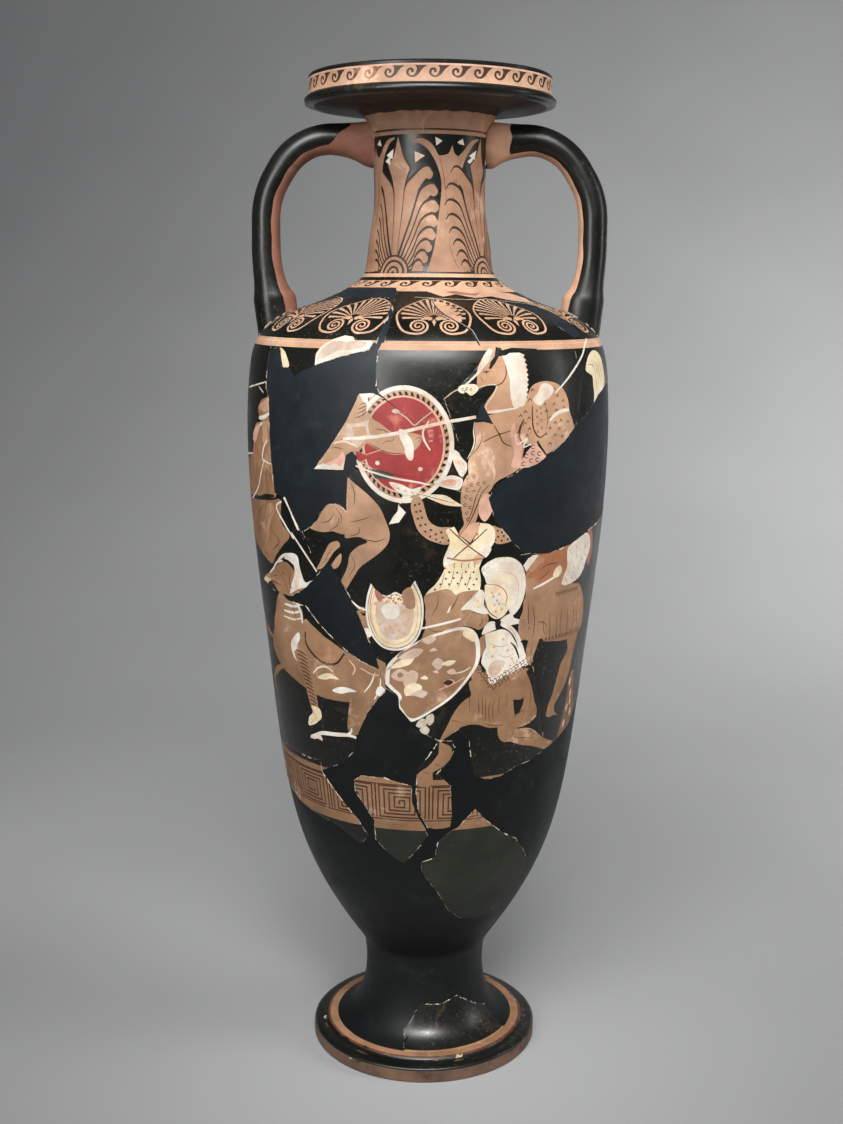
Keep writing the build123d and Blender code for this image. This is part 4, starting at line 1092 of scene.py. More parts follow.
def rearing_horse(p):
    """A saddled horse with a white mane, and the striped trouser leg of its rider."""
    p.shape("clay",
            [(-55, 450), (-52.6, 443), (-49, 441), (-45.6, 441), (-43, 430), (-38, 421), (-33, 413),
             (-28, 407), (-22, 400), (-17, 395), (-14.6, 389)],
            [(-14.6, 389), (-13.4, 378), (-12.8, 371.6), (-15, 367.6), (-17.4, 362)],
            [(-17.4, 362), (-19.6, 354), (-22, 344), (-24, 333), (-27.6, 333), (-28.2, 340),
             (-27.6, 350), (-26.8, 361)],
            [(-26.8, 361), (-34, 360.6), (-40, 361.6), (-47, 366), (-55, 372), (-62, 378),
             (-68, 392), (-66, 404), (-63, 414), (-61, 426), (-58.6, 439)])
    p.blob([(-62, 404), (-58, 409), (-56, 424), (-55.4, 438), (-58, 440), (-60.6, 428),
            (-63.6, 414)], "olive")
    # head and mane
    p.blob([(-69, 451), (-67.6, 455), (-63, 460), (-58, 466), (-54, 472.6), (-50, 475),
            (-46.6, 470), (-44, 461), (-41.6, 457), (-45, 451), (-49, 446), (-53, 446),
            (-57, 447), (-60, 452), (-64, 453)], "olive")
    p.blob([(-69, 451), (-67.6, 454), (-64, 455.6), (-61, 453.4), (-65, 450.6)], "cream")
    p.line([(-62, 460.6), (-58.4, 466.4), (-56, 472), (-52, 475.6)], "white", 2.0, 0.3)
    p.line([(-56, 472), (-53, 477.6), (-50.6, 481), (-46.6, 483.4)], "white", 2.6, 0.4)
    p.fold([(-66, 449), (-60, 454), (-54.6, 453)], 1.4, 0.3)
    p.shape("white",
            [(-51, 478), (-49.6, 482), (-46.4, 484.4), (-44, 482.6), (-43.4, 474), (-42.6, 467),
             (-41.4, 461), (-38.6, 463.4)],
            [(-38.6, 463.4), (-41, 457), (-44, 454.6), (-47, 451), (-49.6, 447.6)],
            [(-49.6, 447.6), (-48.4, 456), (-46.4, 465), (-46, 473), (-48.4, 477)])
    for k in range(5):
        p.line([(-45 - 0.4 * k, 480 - 6 * k), (-44 - 0.5 * k, 474 - 6 * k),
                (-43.6 - 0.5 * k, 468 - 5 * k)], "tan", 0.6)
    p.fold([(-48, 466), (-49.4, 458), (-48, 452)], 0.8)
    p.fold([(-53, 466), (-51.6, 463.6)], 1.0)
    p.fold([(-57, 468), (-52, 458), (-50.6, 449)], 0.7)
    p.fold([(-60, 459), (-56, 461)], 0.6)
    # harness over the neck
    p.line([(-53.6, 437), (-48, 437.4), (-44, 441)], "white", 2.4, 0.3)
    p.line([(-54.4, 431), (-49, 431.4), (-44.4, 434.6)], "white", 2.2, 0.3)
    p.line([(-55, 425.6), (-49, 425.4), (-45, 428)], "cream", 1.8, 0.3)
    p.line([(-46.6, 441), (-44.8, 433), (-44.6, 424)], "white", 2.6, 0.3)
    p.fold([(-49, 440), (-48, 431), (-47.4, 425)], 0.7)
    p.area([(-43.8, 441), (-41.6, 440), (-42, 430), (-44, 426.6)], "gloss")
    # saddle
    p.blob([(-44, 408), (-42.4, 401), (-39, 394.6), (-35, 392), (-31, 394), (-28, 399), (-27.6, 405),
            (-31, 411), (-36, 417), (-40.6, 422), (-43.6, 417)], "olive")
    p.fold([(-43.6, 417), (-43.8, 407), (-41, 398.6), (-37.6, 393.4), (-34, 392), (-30.6, 395),
            (-27.6, 404)], 2.2, 0.2)
    p.line([(-41.6, 417), (-41.4, 408), (-38.6, 400), (-34, 397)], "clay", 1.2, 0.3)
    p.blob([(-52.4, 402), (-50.4, 408.6), (-47, 414.6), (-46.6, 410), (-48.6, 403), (-49.4, 394),
            (-49, 386), (-51.6, 392)], "white")
    p.line([(-41.6, 381), (-39, 387), (-35.4, 389.4), (-32.6, 386)], "cream", 1.8, 0.4)
    p.blob([(-39.6, 378), (-37, 382.4), (-33.6, 384), (-30.4, 380), (-34, 379.6), (-36, 377.6)],
           "cream")
    p.blob([(-33.6, 369), (-31, 373), (-27.6, 374), (-24, 371.6), (-27, 370), (-30, 367.6)],
           "white")
    p.line([(-26, 399), (-24, 392), (-25, 386)], "rose", 1.4, 0.4)
    p.line([(-21, 372), (-18.6, 380), (-17, 390)], "white", 1.2, 0.4)
    p.line([(-17.6, 366), (-15.6, 376), (-15, 388)], "white", 1.2, 0.4)
    p.blob([(-17, 372), (-15.4, 379), (-13.4, 374), (-14.4, 369)], "white")
    p.line([(-22, 393), (-17.4, 388), (-14.6, 389)], "rose", 1.2, 0.3)
    # legs
    p.line([(-66, 400), (-73, 404), (-79, 412), (-86, 417)], "clay", 7.0, 0.5)
    p.line([(-60, 378), (-67, 370), (-72, 360), (-70, 346)], "clay", 6.0, 0.4)
    # rider's leg
    p.shape("olive",
            [(-51, 396), (-49.6, 386), (-47.6, 378), (-46.4, 370), (-45.6, 360), (-44.4, 350)],
            [(-40.6, 350), (-41, 360), (-41.6, 370), (-42.6, 380), (-43.6, 392), (-44.6, 404)])
    for k in range(14):
        h = 398 - 3.5 * k
        az = -49.6 + 0.42 * k
        right = -44.4 + 0.27 * k
        p.fold([(az, h), ((az + right) / 2, h - 0.6), (right, h - 2.6)], 1.3, 0.2)
    p.blob([(-44.2, 350), (-43.6, 345), (-46, 339), (-46.6, 331.6), (-43.6, 333.6), (-41, 338),
            (-39.4, 342), (-39.8, 349), (-42, 351)], "cream")
    p.line([(-41, 342), (-42.6, 339), (-45.6, 333.6)], "tan", 0.7)
    p.line([(-46, 321.4), (-42.6, 325), (-40, 327.6), (-33, 329.6), (-28, 331), (-25, 330)], "white",
           3.6, 0.4)
    p.blob([(-46.4, 320.4), (-43.6, 325), (-40.6, 325), (-40, 320.6), (-42.4, 321.4),
            (-44, 320)], "white")
    p.line([(-30, 330), (-27, 334), (-26.6, 338)], "white", 2.2, 0.4)


def lower_figures(p):
    """The lower register of the front; later figures cover earlier ones."""
    rearing_horse(p)
    pelta(p)
    kneeling_warrior(p)
    oval_shield(p)
    striding_figure(p)
    helmet(p)
    planted_leg(p)


def back_figures():
    """The unseen side: the same figures in another order, some of them turned round."""
    rear = Pen(body_paint, turn=186, flip=True)
    for figure in (lunging_legs, shield_bearer, round_shield, shield_arm, cantering_horse, rider,
                   wing, amazon, shield_sash):
        figure(rear)
    draped_figure(Pen(body_paint, turn=176, flip=True))
    low = Pen(body_paint, turn=170)
    for figure in (rearing_horse, pelta, kneeling_warrior, oval_shield, helmet, planted_leg):
        figure(low)
    draped_figure(Pen(body_paint, turn=186, flip=True, lift=-146))


# ------------------------------------------------------------------ wear on the wall
def wear(p):
    """The worn white patch that runs over the shoulder line."""
    p.area([(-35.6, 641), (-35.8, 650), (-34.4, 656), (-31.4, 661.4), (-27, 665), (-24, 664),
            (-23, 661), (-17.6, 661.4), (-16.6, 656.6), (-18.6, 653), (-27, 648)], "white")
    p.blob([(-35, 646), (-33.8, 654), (-31, 659.6), (-26, 660), (-22, 659), (-22, 655), (-28, 653),
            (-33.6, 646)], "thin")
    p.blob([(-28, 657), (-24, 661), (-19, 659.6), (-20, 656), (-25, 655)], "thin")


# ------------------------------------------------------------------ sherds and fills
UPPER_LEFT_FILL = [
    (-59, 651), (-55, 653.5), (-52.5, 652), (-49.5, 638), (-46, 638), (-44, 632), (-35.5, 641),
    (-27, 648.5), (-18, 654.5), (-16.5, 662), (-14, 662), (-15, 653), (-15.3, 638), (-15, 627),
    (-14, 621), (-8, 607), (-13, 617), (-16, 621), (-20, 620), (-24, 598), (-29, 578),
    (-35, 558), (-25, 559), (-24, 572), (-22, 574.5), (-20.5, 570), (-21.5, 560),
    (-23.7, 553), (-24.3, 525), (-26.5, 531), (-31, 530), (-37, 510), (-41.5, 503),
    (-46, 522), (-48, 531), (-53.7, 533), (-55, 562), (-56.4, 611), (-58.5, 620)]
CENTRE_LEFT_FILL = [
    (-52, 441), (-49, 446.5), (-42, 455), (-36, 469), (-31.5, 483), (-28.5, 472), (-25, 457),
    (-21.5, 437), (-19, 420), (-16.5, 405), (-15.5, 393.5), (-21, 398), (-28, 408.5),
    (-37, 427), (-42, 440)]
UPPER_RIGHT_FILL = [
    (17.8, 538), (20.5, 550), (28, 560), (33, 563), (44, 580), (50, 594), (56, 601),
    (64, 615), (74, 623), (88, 624), (97, 600), (101, 552), (92, 520), (80, 508), (63, 501),
    (50, 492), (40, 487.5), (31, 489.5), (26, 501), (20, 519)]
SHOULDER_PIECES = [                 # seen from above, as (azimuth, radius)
    ("shoulder_fill", [
        (-88, 62), (-55, 62), (-24, 68), (-19, 80), (-17, 104), (-13.5, 122), (-13, 140),
        (-14, 160), (-16.5, 160), (-15.5, 145), (-15, 127), (-17.4, 106), (-18.4, 96),
        (-22, 88), (-28, 86), (-36, 88), (-46, 86), (-58, 88), (-72, 86), (-88, 88)]),
    ("shoulder_left_sherd", [
        (-124, 57), (-124, 90), (-125.5, 160), (-15, 160), (-14.2, 135), (-16.2, 114), (-19, 102),
        (-21, 86), (-25, 66), (-25, 57)]),
    ("shoulder_front_sherd", [(-30, 57), (-30, 160), (64.6, 160), (63, 120), (67, 80), (67, 57)]),
    ("shoulder_right_sherd", [(50, 57), (50, 160), (124.3, 160), (122, 110), (128, 75), (128, 57)]),
    ("shoulder_back_sherd", [(100, 57), (100, 160), (260, 160), (260, 57)]),
]
BODY_PIECES = [
    ("upper_left_fill", UPPER_LEFT_FILL),
    ("centre_left_fill", CENTRE_LEFT_FILL),
    ("upper_right_fill", UPPER_RIGHT_FILL),
    ("meander_left_sherd", [
        (-96, 302), (-42, 300), (-42, 291), (-36, 275), (-32, 265), (-27, 253), (-23, 238),
        (-27, 229), (-38, 243), (-60, 250), (-78, 258), (-90, 280)]),
    ("meander_centre_sherd", [
        (-27, 290), (-24, 295.5), (-15, 296), (-5, 290), (-5, 275), (-3, 262), (0, 250),
        (1, 243), (-4, 227), (-9, 214), (-14, 221), (-20, 236), (-20, 255), (-27, 280)]),
    ("shin_sherd", [
        (4.5, 332), (1, 318), (-3, 305), (-3.5, 283), (-2.5, 265), (1, 251), (4, 249.5),
        (9.5, 251), (10, 262), (9, 290), (4, 302), (8.5, 314), (10, 325), (9, 331)]),
    ("lower_gloss_sherd", [
        (12.5, 250), (19, 266.5), (23, 256), (32, 239), (40, 229), (50, 207), (58, 182),
        (66, 168), (56, 159), (40, 151), (30, 146.5), (20, 150), (12, 162), (6, 183),
        (-1, 204), (-2, 216), (4, 221), (5, 236), (8, 244)]),
    ("top_left_sherd", [
        (-59.5, 667), (-15.7, 667), (-16.5, 650), (-30, 600), (-50, 600), (-58.5, 640)]),
    ("shield_sherd", [
        (-16.2, 667), (24, 667), (21, 655), (14, 642), (10, 630), (4.5, 617), (9, 580),
        (10.5, 560), (9, 546), (1, 550), (-4, 553), (-9, 556), (-15, 560.5), (-20.5, 567),
        (-22, 565), (-24, 556), (-37, 553), (-40, 590), (-22, 640), (-15.8, 640)]),
    ("horse_rider_sherd", [
        (-2, 667), (51, 667), (52, 630), (49, 590), (40, 540), (18.5, 541), (8, 545), (0, 560)]),
    ("wing_sherd", [
        (48, 667), (116, 667), (118, 610), (112, 556), (95, 556), (60, 580), (48, 580)]),
    ("left_figure_sherd", [
        (-116, 667), (-54, 667), (-57, 640), (-50, 560), (-42, 508), (-40, 500), (-38, 488),
        (-37, 466), (-40, 452), (-51, 441), (-70, 452), (-92, 446), (-118, 458), (-122, 560)]),
    ("lower_left_horse_sherd", [
        (-112, 480), (-60, 480), (-42, 447), (-25, 415), (-14, 394), (-13, 377), (-16, 368),
        (-20, 355), (-24, 335), (-27, 315), (-31, 305), (-42, 292), (-42, 301), (-96, 301),
        (-116, 318), (-112, 380)]),
    ("centre_sherd", [
        (-36, 440), (-45, 468), (-46, 540), (-42, 590), (-10, 590), (14, 575), (40, 550),
        (34, 490), (31, 489.5), (23, 488.5), (17, 478), (16, 461), (13, 441), (9, 432), (0, 424),
        (-10, 410), (-17, 403), (-25, 410)]),
    ("kneeling_warrior_sherd", [
        (-24, 395), (-24, 470), (0, 520), (26, 520), (34, 490), (32, 468), (33, 435), (37, 412),
        (38, 390), (43, 356),
        (46, 330), (49, 309), (41, 303), (34, 300), (28, 294), (22, 293.5), (18, 298),
        (16.3, 312), (15, 330), (11, 341), (5, 331), (0, 337), (-4, 345), (-9, 360),
        (-10.5, 372), (-13.3, 377), (-15, 394)]),
    ("right_figure_sherd", [
        (28, 510), (118, 570), (114, 480), (118, 400), (112, 346), (92, 338), (75, 338),
        (67, 322), (56, 313), (49, 309), (44, 308), (30, 350), (28, 420)]),
    ("back_fill", [
        (158, 556), (172, 592), (192, 574), (206, 542), (201, 492), (212, 450), (193, 428),
        (171, 444), (155, 470), (163, 516)]),
    ("back_upper_sherd", [
        (104, 667), (256, 667), (258, 598), (236, 580), (206, 542), (180, 500), (160, 540),
        (130, 588), (102, 610)]),
    ("back_right_sherd", [
        (98, 640), (140, 640), (180, 560), (183, 440), (186, 382), (178, 300), (160, 322),
        (146, 326), (128, 306), (108, 330), (98, 400)]),
    ("back_left_sherd", [
        (168, 560), (230, 640), (264, 640), (266, 400), (256, 316), (238, 304), (222, 322),
        (204, 300), (190, 312), (180.5, 302), (176, 340), (168, 440)]),
    ("lower_front_fill", [(-90, 60), (90, 60), (90, 700), (-90, 700)]),
    ("lower_back_fill", [(90, 60), (270, 60), (270, 700), (90, 700)]),
]
STEM_PIECES = [
    ("foot_gloss_sherd", [
        (-16, 30), (-8, 45), (-2, 52), (15, 51), (32, 56), (50, 44), (66, 36), (64.6, 18), (-12.4, 18)]),
    ("stem_fill", [(-130, 18), (250, 18), (250, 110), (-130, 110)]),
]
NECK_PIECES = [("neck", [(-130, 690), (250, 690), (250, 833), (-130, 833)])]
FILLS = ("shoulder_fill", "upper_left_fill", "centre_left_fill", "upper_right_fill", "back_fill",
         "lower_front_fill", "lower_back_fill", "stem_fill")
GREY_SHERDS = ("lower_gloss_sherd", "meander_centre_sherd")     # their gloss has turned grey


# ------------------------------------------------------------------ the chart cut up
def inside(points, outline):
    """Which of the points the outline winds round."""
    a = np.array(outline)
    b = np.roll(a, -1, axis=0)
    low, high = a.min(axis=0), a.max(axis=0)
    near = np.flatnonzero(((points >= low) & (points <= high)).all(axis=1))
    px, py = points[near, 0][:, None], points[near, 1][:, None]
    rise = b[:, 1] - a[:, 1]
    slope = (b[:, 0] - a[:, 0]) / np.where(rise == 0, 1, rise)
    left = px < a[:, 0] + (py - a[:, 1]) * slope
    up = (py >= a[:, 1]) & (py < b[:, 1]) & left
    down = (py >= b[:, 1]) & (py < a[:, 1]) & left
    return near[up.sum(axis=1) != down.sum(axis=1)]


def both_sides(outline):
    """The outline, and again one turn away where it runs over the seam."""
    xs = [p[0] for p in outline]
    turn = 360 * GIRTH
    yield outline
    if min(xs) < SEAM * GIRTH:
        yield [(x + turn, t) for x, t in outline]
    if max(xs) > (SEAM + 360) * GIRTH:
        yield [(x - turn, t) for x, t in outline]


class Sheet:
    """A turned surface, cut along all outlines that are laid on its chart."""

    def __init__(self, profile, outlines, breaks=(), spacing=GRID):
        left, right = SEAM * GIRTH, (SEAM + 360) * GIRTH
        corners = [0.0] + [float(run[0][-1]) for run in profile.runs]
        stops = sorted(set(corners) | set(breaks))
        verts, edges = [], []

        def lay(points, closed):
            """Add a line of points and the edges between them."""
            first = len(verts)
            verts.extend(points)
            edges.extend((first + i, first + i + 1) for i in range(len(points) - 1))
            if closed:
                edges.append((len(verts) - 1, first))

        rows = []
        for low, high in zip(stops, stops[1:]):
            n = max(1, round((high - low) / spacing))
            rows += [(low + (high - low) * k / n, k == 0) for k in range(n)]
        rows.append((stops[-1], True))
        sides = [t for t, _ in rows]
        for i, (t, is_stop) in enumerate(rows):
            radius = float(profile.at(t)[0])
            n = max(24, math.ceil(2 * math.pi * radius / spacing))
            shift = 0 if is_stop else 0.5 * (i % 2)
            xs = [left] + [left + (right - left) * (k + shift) / n for k in range(n)
                           if k + shift > 0] + [right]
            if is_stop:
                lay([(x, t) for x in xs], False)
            else:
                verts.extend((x, t) for x in xs)
        for x in (left, right):
            lay([(x, t) for t in sides], False)
        for outline in outlines:
            for copy in both_sides(outline):
                lay(copy, True)
        result = delaunay_2d_cdt([Vector(v) for v in verts], edges, [], 0, 1e-3, False)
        points = np.array([tuple(v) for v in result[0]])
        tris = np.array([f for f in result[2] if len(f) == 3])
        corner = points[tris]
        centre = corner.mean(axis=1)
        span = corner[:, 1:] - corner[:, :1]
        size = span[:, 0, 0] * span[:, 1, 1] - span[:, 0, 1] * span[:, 1, 0]
        keep = ((centre[:, 0] > left) & (centre[:, 0] < right) & (centre[:, 1] > 0)
                & (centre[:, 1] < profile.length) & (size > 1e-9))
        self.tris, self.centres = tris[keep], centre[keep]
        self.points = points
        self.profile = profile
        self.run = np.array([profile.run_at(t) for t in self.centres[:, 1]])
        # the two edges of the chart meet at the seam, and so do a closed outline's two ends
        self.same = np.arange(len(points))
        on_left = np.flatnonzero(abs(points[:, 0] - left) < 1e-3)
        self._join(on_left, np.flatnonzero(abs(points[:, 0] - right) < 1e-3), 1)
        first, last = profile.runs[0][1][0], profile.runs[-1][1][-1]
        if math.dist(first, last) < 1e-6:
            self._join(np.flatnonzero(abs(points[:, 1]) < 1e-3),
                       np.flatnonzero(abs(points[:, 1] - profile.length) < 1e-3), 0)

    def _join(self, kept, moved, axis):
        """Note for each moved point which kept one lies at its place along an axis."""
        kept = kept[np.argsort(self.points[kept, axis])]
        order = self.points[kept, axis]
        for v in moved:
            i = int(np.clip(np.searchsorted(order, self.points[v, axis]), 1, len(order) - 1))
            i -= self.points[v, axis] - order[i - 1] < order[i] - self.points[v, axis]
            if abs(order[i] - self.points[v, axis]) < 0.02:
                self.same[v] = self.same[kept[i]]

    def mark(self, outlines):
        """For each triangle the index of the last outline that holds it, or -1."""
        order = np.argsort(self.centres[:, 0])
        xs = self.centres[order, 0]
        marks = np.full(len(self.tris), -1)
        for k, outline in enumerate(outlines):
            for copy in both_sides(outline):
                px = [p[0] for p in copy]
                window = order[np.searchsorted(xs, min(px)):np.searchsorted(xs, max(px))]
                marks[window[inside(self.centres[window], copy)]] = k
        return marks

    def lift(self, used, depth=0.0):
        """Places of chart points on the turned surface, sunk into it by a depth."""
        x, t = self.points[used].T
        depth = np.broadcast_to(depth, t.shape)
        az = np.radians(x / GIRTH)
        r, z = np.empty(len(t)), np.empty(len(t))
        run = np.searchsorted([length[-1] for length, _, _ in self.profile.runs], t)
        for k in np.unique(run):
            at = run == k
            pr, pz, nr, nz = self.profile.at(t[at], min(k, len(self.profile.runs) - 1))
            r[at], z[at] = pr - nr * depth[at], pz - nz * depth[at]
        return np.column_stack([r * np.sin(az), -r * np.cos(az), z]) * MM

    def normals(self, chosen):
        """The true surface normal at each corner of the chosen triangles."""
        out = np.empty((len(chosen), 3, 3))
        for k in np.unique(self.run[chosen]):
            at = self.run[chosen] == k
            x, t = self.points[self.tris[chosen[at]]].transpose(2, 0, 1)
            _, _, nr, nz = self.profile.at(t.ravel(), k)
            az = np.radians(x.ravel() / GIRTH)
            out[at] = np.column_stack([nr * np.sin(az), -nr * np.cos(az), nz]).reshape(-1, 3, 3)
        return out


def make_piece(name, verts, faces, normals, slots):
    """A closed mesh piece that rides on the body and stands for the CAD node of its name."""
    mesh = bpy.data.meshes.new(name)
    mesh.from_pydata([tuple(v) for v in verts], [], [tuple(f) for f in faces])
    names = sorted(set(slots))
    for used in names:
        mesh.materials.append(MATERIALS[used])
    mesh.polygons.foreach_set("material_index", [names.index(s) for s in slots])
    mesh.polygons.foreach_set("use_smooth", [True] * len(faces))
    mesh.update()
    if normals is not None:
        mesh.normals_split_custom_set([tuple(n) for n in normals])
    piece = new_object(name, mesh)
    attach(piece, "root")
    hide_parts(name)


def face_normals(corner):
    """Unit normals of triangles."""
    flat = np.cross(corner[:, 1] - corner[:, 0], corner[:, 2] - corner[:, 0])
    return flat / np.maximum(np.linalg.norm(flat, axis=1), 1e-20)[:, None]


def clean_triangles(sheet, chosen, colours):
    """The chosen triangles in their own numbering, without any that the seam has closed up."""
    tris = sheet.same[sheet.tris[chosen]]
    good = (tris[:, 0] != tris[:, 1]) & (tris[:, 1] != tris[:, 2]) & (tris[:, 2] != tris[:, 0])
    used, local = np.unique(tris[good], return_inverse=True)
    return used, local.reshape(-1, 3), chosen[good], [colours[i] for i in np.flatnonzero(good)]


def whole_ring(name, profile, paint, spacing):
    """A painted ring whose outline closes on itself, as one piece."""
    sheet = Sheet(profile, paint.outlines(), spacing=spacing)
    colours = paint.colour_of(sheet.mark(paint.outlines()))
    used, local, chosen, colours = clean_triangles(sheet, np.arange(len(sheet.tris)), colours)
    normals = sheet.normals(chosen).reshape(-1, 3)
    make_piece(name, sheet.lift(used), local, normals, colours)


def sherd(sheet, name, chosen, colours, inner, sunk, edge_drop, back, floor=None):
    """The chosen triangles of a sheet as one thick closed piece.

    sunk lowers the whole face and edge_drop only its rim.  floor is the pair of heights between
    which the piece closes over the axis instead of ending in an open ring.
    """
    used, local, chosen, colours = clean_triangles(sheet, chosen, colours)
    n = len(used)
    directed = np.vstack([local[:, [0, 1]], local[:, [1, 2]], local[:, [2, 0]]]).astype(np.int64)
    codes = directed[:, 0] * n + directed[:, 1]
    opposite = directed[:, 1] * n + directed[:, 0]
    border = directed[~np.isin(codes, opposite)]
    rim = np.zeros(n, bool)
    rim[np.unique(border)] = True
    outer = sheet.lift(used, sunk + np.where(rim, edge_drop, 0.0))
    t = sheet.points[used, 1]
    az = np.radians(sheet.points[used, 0] / GIRTH)
    in_r, in_z = inner(t)
    under = np.column_stack([in_r * np.sin(az), -in_r * np.cos(az), in_z]) * MM
    faces = [tuple(f) for f in local] + [tuple(f[::-1] + n) for f in local]
    slots = list(colours) + [back] * len(local)
    smooth = sheet.normals(chosen)
    bent = rim[local].any(axis=1) & (edge_drop > 0)
    smooth[bent] = face_normals(outer[local])[bent][:, None, :]
    normals = list(smooth.reshape(-1, 3))
    below = under[local[:, ::-1]]
    normals += list(np.repeat(face_normals(below), 3, axis=0))
    verts = [tuple(v) for v in np.vstack([outer, under])]
    for a, b in border:
        if floor is not None and min(t[a], t[b]) > t.max() - 1e-3:
            faces += [(b, a, 2 * n), (a + n, b + n, 2 * n + 1)]
            slots += [back] * 2
            normals += [(0, 0, 1)] * 3 + [(0, 0, -1)] * 3
            continue
        faces.append((b, a, a + n, b + n))
        slots.append(back)
        side = np.cross(outer[a] - outer[b], under[a] - outer[b])
        normals += [side / max(np.linalg.norm(side), 1e-20)] * 4
    if floor is not None:
        verts += [(0, 0, h * MM) for h in floor]
    make_piece(name, verts, faces, normals, slots)


# ------------------------------------------------------------------ the wall and its pieces
def inner_wall(t):
    """Radius and height of the inside of the thrown wall, which ends in a round throat."""
    r, z, nr, nz = wall.at(t)
    share = np.clip((z - THROAT_START) / THROAT_BLEND, 0, 1)
    share = share * share * (3 - 2 * share)
    return ((1 - share) * (r - WALL_THICKNESS * nr) + share * THROAT_RADIUS,
            (1 - share) * (z - WALL_THICKNESS * nz) + share * z)


def inner_stem(t):
    """Radius and height of the hollow under the stem, up to the floor of the body."""
    z = wall.at(t)[1]
    hollow = np.interp(z, [18, 30, 55, FLOOR_FOOT, STEM_TOP], [78, 59, 46, 36, 3])
    return hollow, np.minimum(z, FLOOR_FOOT)


def on_chart(name, outline):
    """A piece's outline on the chart; the shoulder's are seen from above."""
    if any(name == other for other, _ in SHOULDER_PIECES):
        return split_long(plan(outline))
    return split_long(chart(outline))


COURSES = [(STEM_TOP, STEM_PIECES, inner_stem), (SHOULDER, BODY_PIECES, inner_wall),
           (NECK_FOOT, SHOULDER_PIECES, inner_wall), (NECK_TOP, NECK_PIECES, inner_wall)]


# ------------------------------------------------------------------ broken edges
CHIPPED_BY_FILL, CHIPPED_BY_SHERD = 0.36, 0.20      # shares of the breaks that have chips
LOOK_ASIDE = 0.7                    # how far from a break the two pieces beside it are looked up


def all_outlines():
    """Every piece's outline on the chart, with its course, in the order that shares out the wall."""
    low = 0.0
    for top_height, pieces, _ in COURSES:
        top = wall.t_at(top_height)
        for name, outline in pieces:
            yield name, on_chart(name, outline), low, top
        low = top


def piece_at(points, outlines):
    """Index of the piece under each chart point."""
    found = np.full(len(points), -1)
    for k in reversed(range(len(outlines))):
        _, outline, low, top = outlines[k]
        for copy in both_sides(outline):
            hit = inside(points, copy)
            hit = hit[(points[hit, 1] > low) & (points[hit, 1] < top)]
            found[hit] = k
    return found


def chip_edges():
    """Pale chips where a sherd meets a fill, and a few where it meets another sherd."""
    rng = random.Random(11)
    outlines = list(all_outlines())
    for _, outline, _, _ in outlines:
        a = np.array(outline)
        b = np.roll(a, -1, axis=0)
        along = b - a
        side = np.column_stack([-along[:, 1], along[:, 0]])
        side /= np.maximum(np.linalg.norm(side, axis=1), 1e-9)[:, None]
        middle = (a + b) / 2
        left, right = (piece_at(middle + side * k, outlines) for k in (LOOK_ASIDE, -LOOK_ASIDE))
        for i in range(len(a)):
            if left[i] == right[i] or min(left[i], right[i]) < 0:
                continue
            fills = sum(outlines[k][0] in FILLS for k in (left[i], right[i]))
            if fills == 2 or rng.random() > (CHIPPED_BY_FILL if fills else CHIPPED_BY_SHERD):
                continue
            start, end = Vector(a[i]), Vector(b[i])
            line = [start.lerp(end, -0.15 + 1.3 * k / 4) + Vector(side[i]) * rng.uniform(-0.35, 0.35)
                    for k in range(5)]
            width = rng.choice((0.4, 0.6, 0.8, 1.3)) if fills else 0.55
            body_paint.fill(ribbon(line, [width * rng.uniform(0.3, 1.0) for _ in line]), "chip")


# ------------------------------------------------------------------ materials
def srgb(*rgb):
    """A colour given in screen values, 0 to 255, as Blender's linear light."""
    return tuple((v / 255 / 12.92 if v <= 10 else ((v / 255 + 0.055) / 1.055) ** 2.4)
                 for v in rgb) + (1.0,)


class Nodes:
    """Short calls for building a node tree."""

    def __init__(self, name):
        self.material = bpy.data.materials.new(name)
        self.material.use_nodes = True
        self.tree = self.material.node_tree
        self.tree.nodes.clear()
        self.place = self.add("TexCoord").outputs["Object"]

    def add(self, kind, settings=(), **inputs):
        """A node with its settings and inputs; i0 is the first input, and _ stands for a space."""
        node = self.tree.nodes.new("ShaderNode" + kind)
        for key, value in settings:
            setattr(node, key, value)
        for key, value in inputs.items():
            socket = node.inputs[int(key[1:]) if key[0] == "i" and key[1:].isdigit()
                                 else key.replace("_", " ")]
            if isinstance(value, bpy.types.NodeSocket):
                self.tree.links.new(value, socket)
            else:
                socket.default_value = value
        return node

    def noise(self, scale, detail=4.0, roughness=0.55, distortion=0.0):
        """Noise from 0 to 1 in the object's own space."""
        return self.add("TexNoise", Vector=self.place, Scale=scale, Detail=detail,
                        Roughness=roughness, Distortion=distortion).outputs["Fac"]

    def remap(self, value, low, high, to_low=0.0, to_high=1.0):
        """A value spread from one span to another, and held there."""
        return self.add("MapRange", Value=value, From_Min=low, From_Max=high, To_Min=to_low,
                        To_Max=to_high).outputs["Result"]

    def math(self, operation, a, b):
        """One step of arithmetic."""
        return self.add("Math", [("operation", operation)], i0=a, i1=b).outputs["Value"]

    def mix(self, share, a, b, blend="MIX"):
        """A mix of two colours."""
        return self.add("Mix", [("data_type", "RGBA"), ("blend_type", blend)],
                        i0=share, i6=a, i7=b).outputs[2]


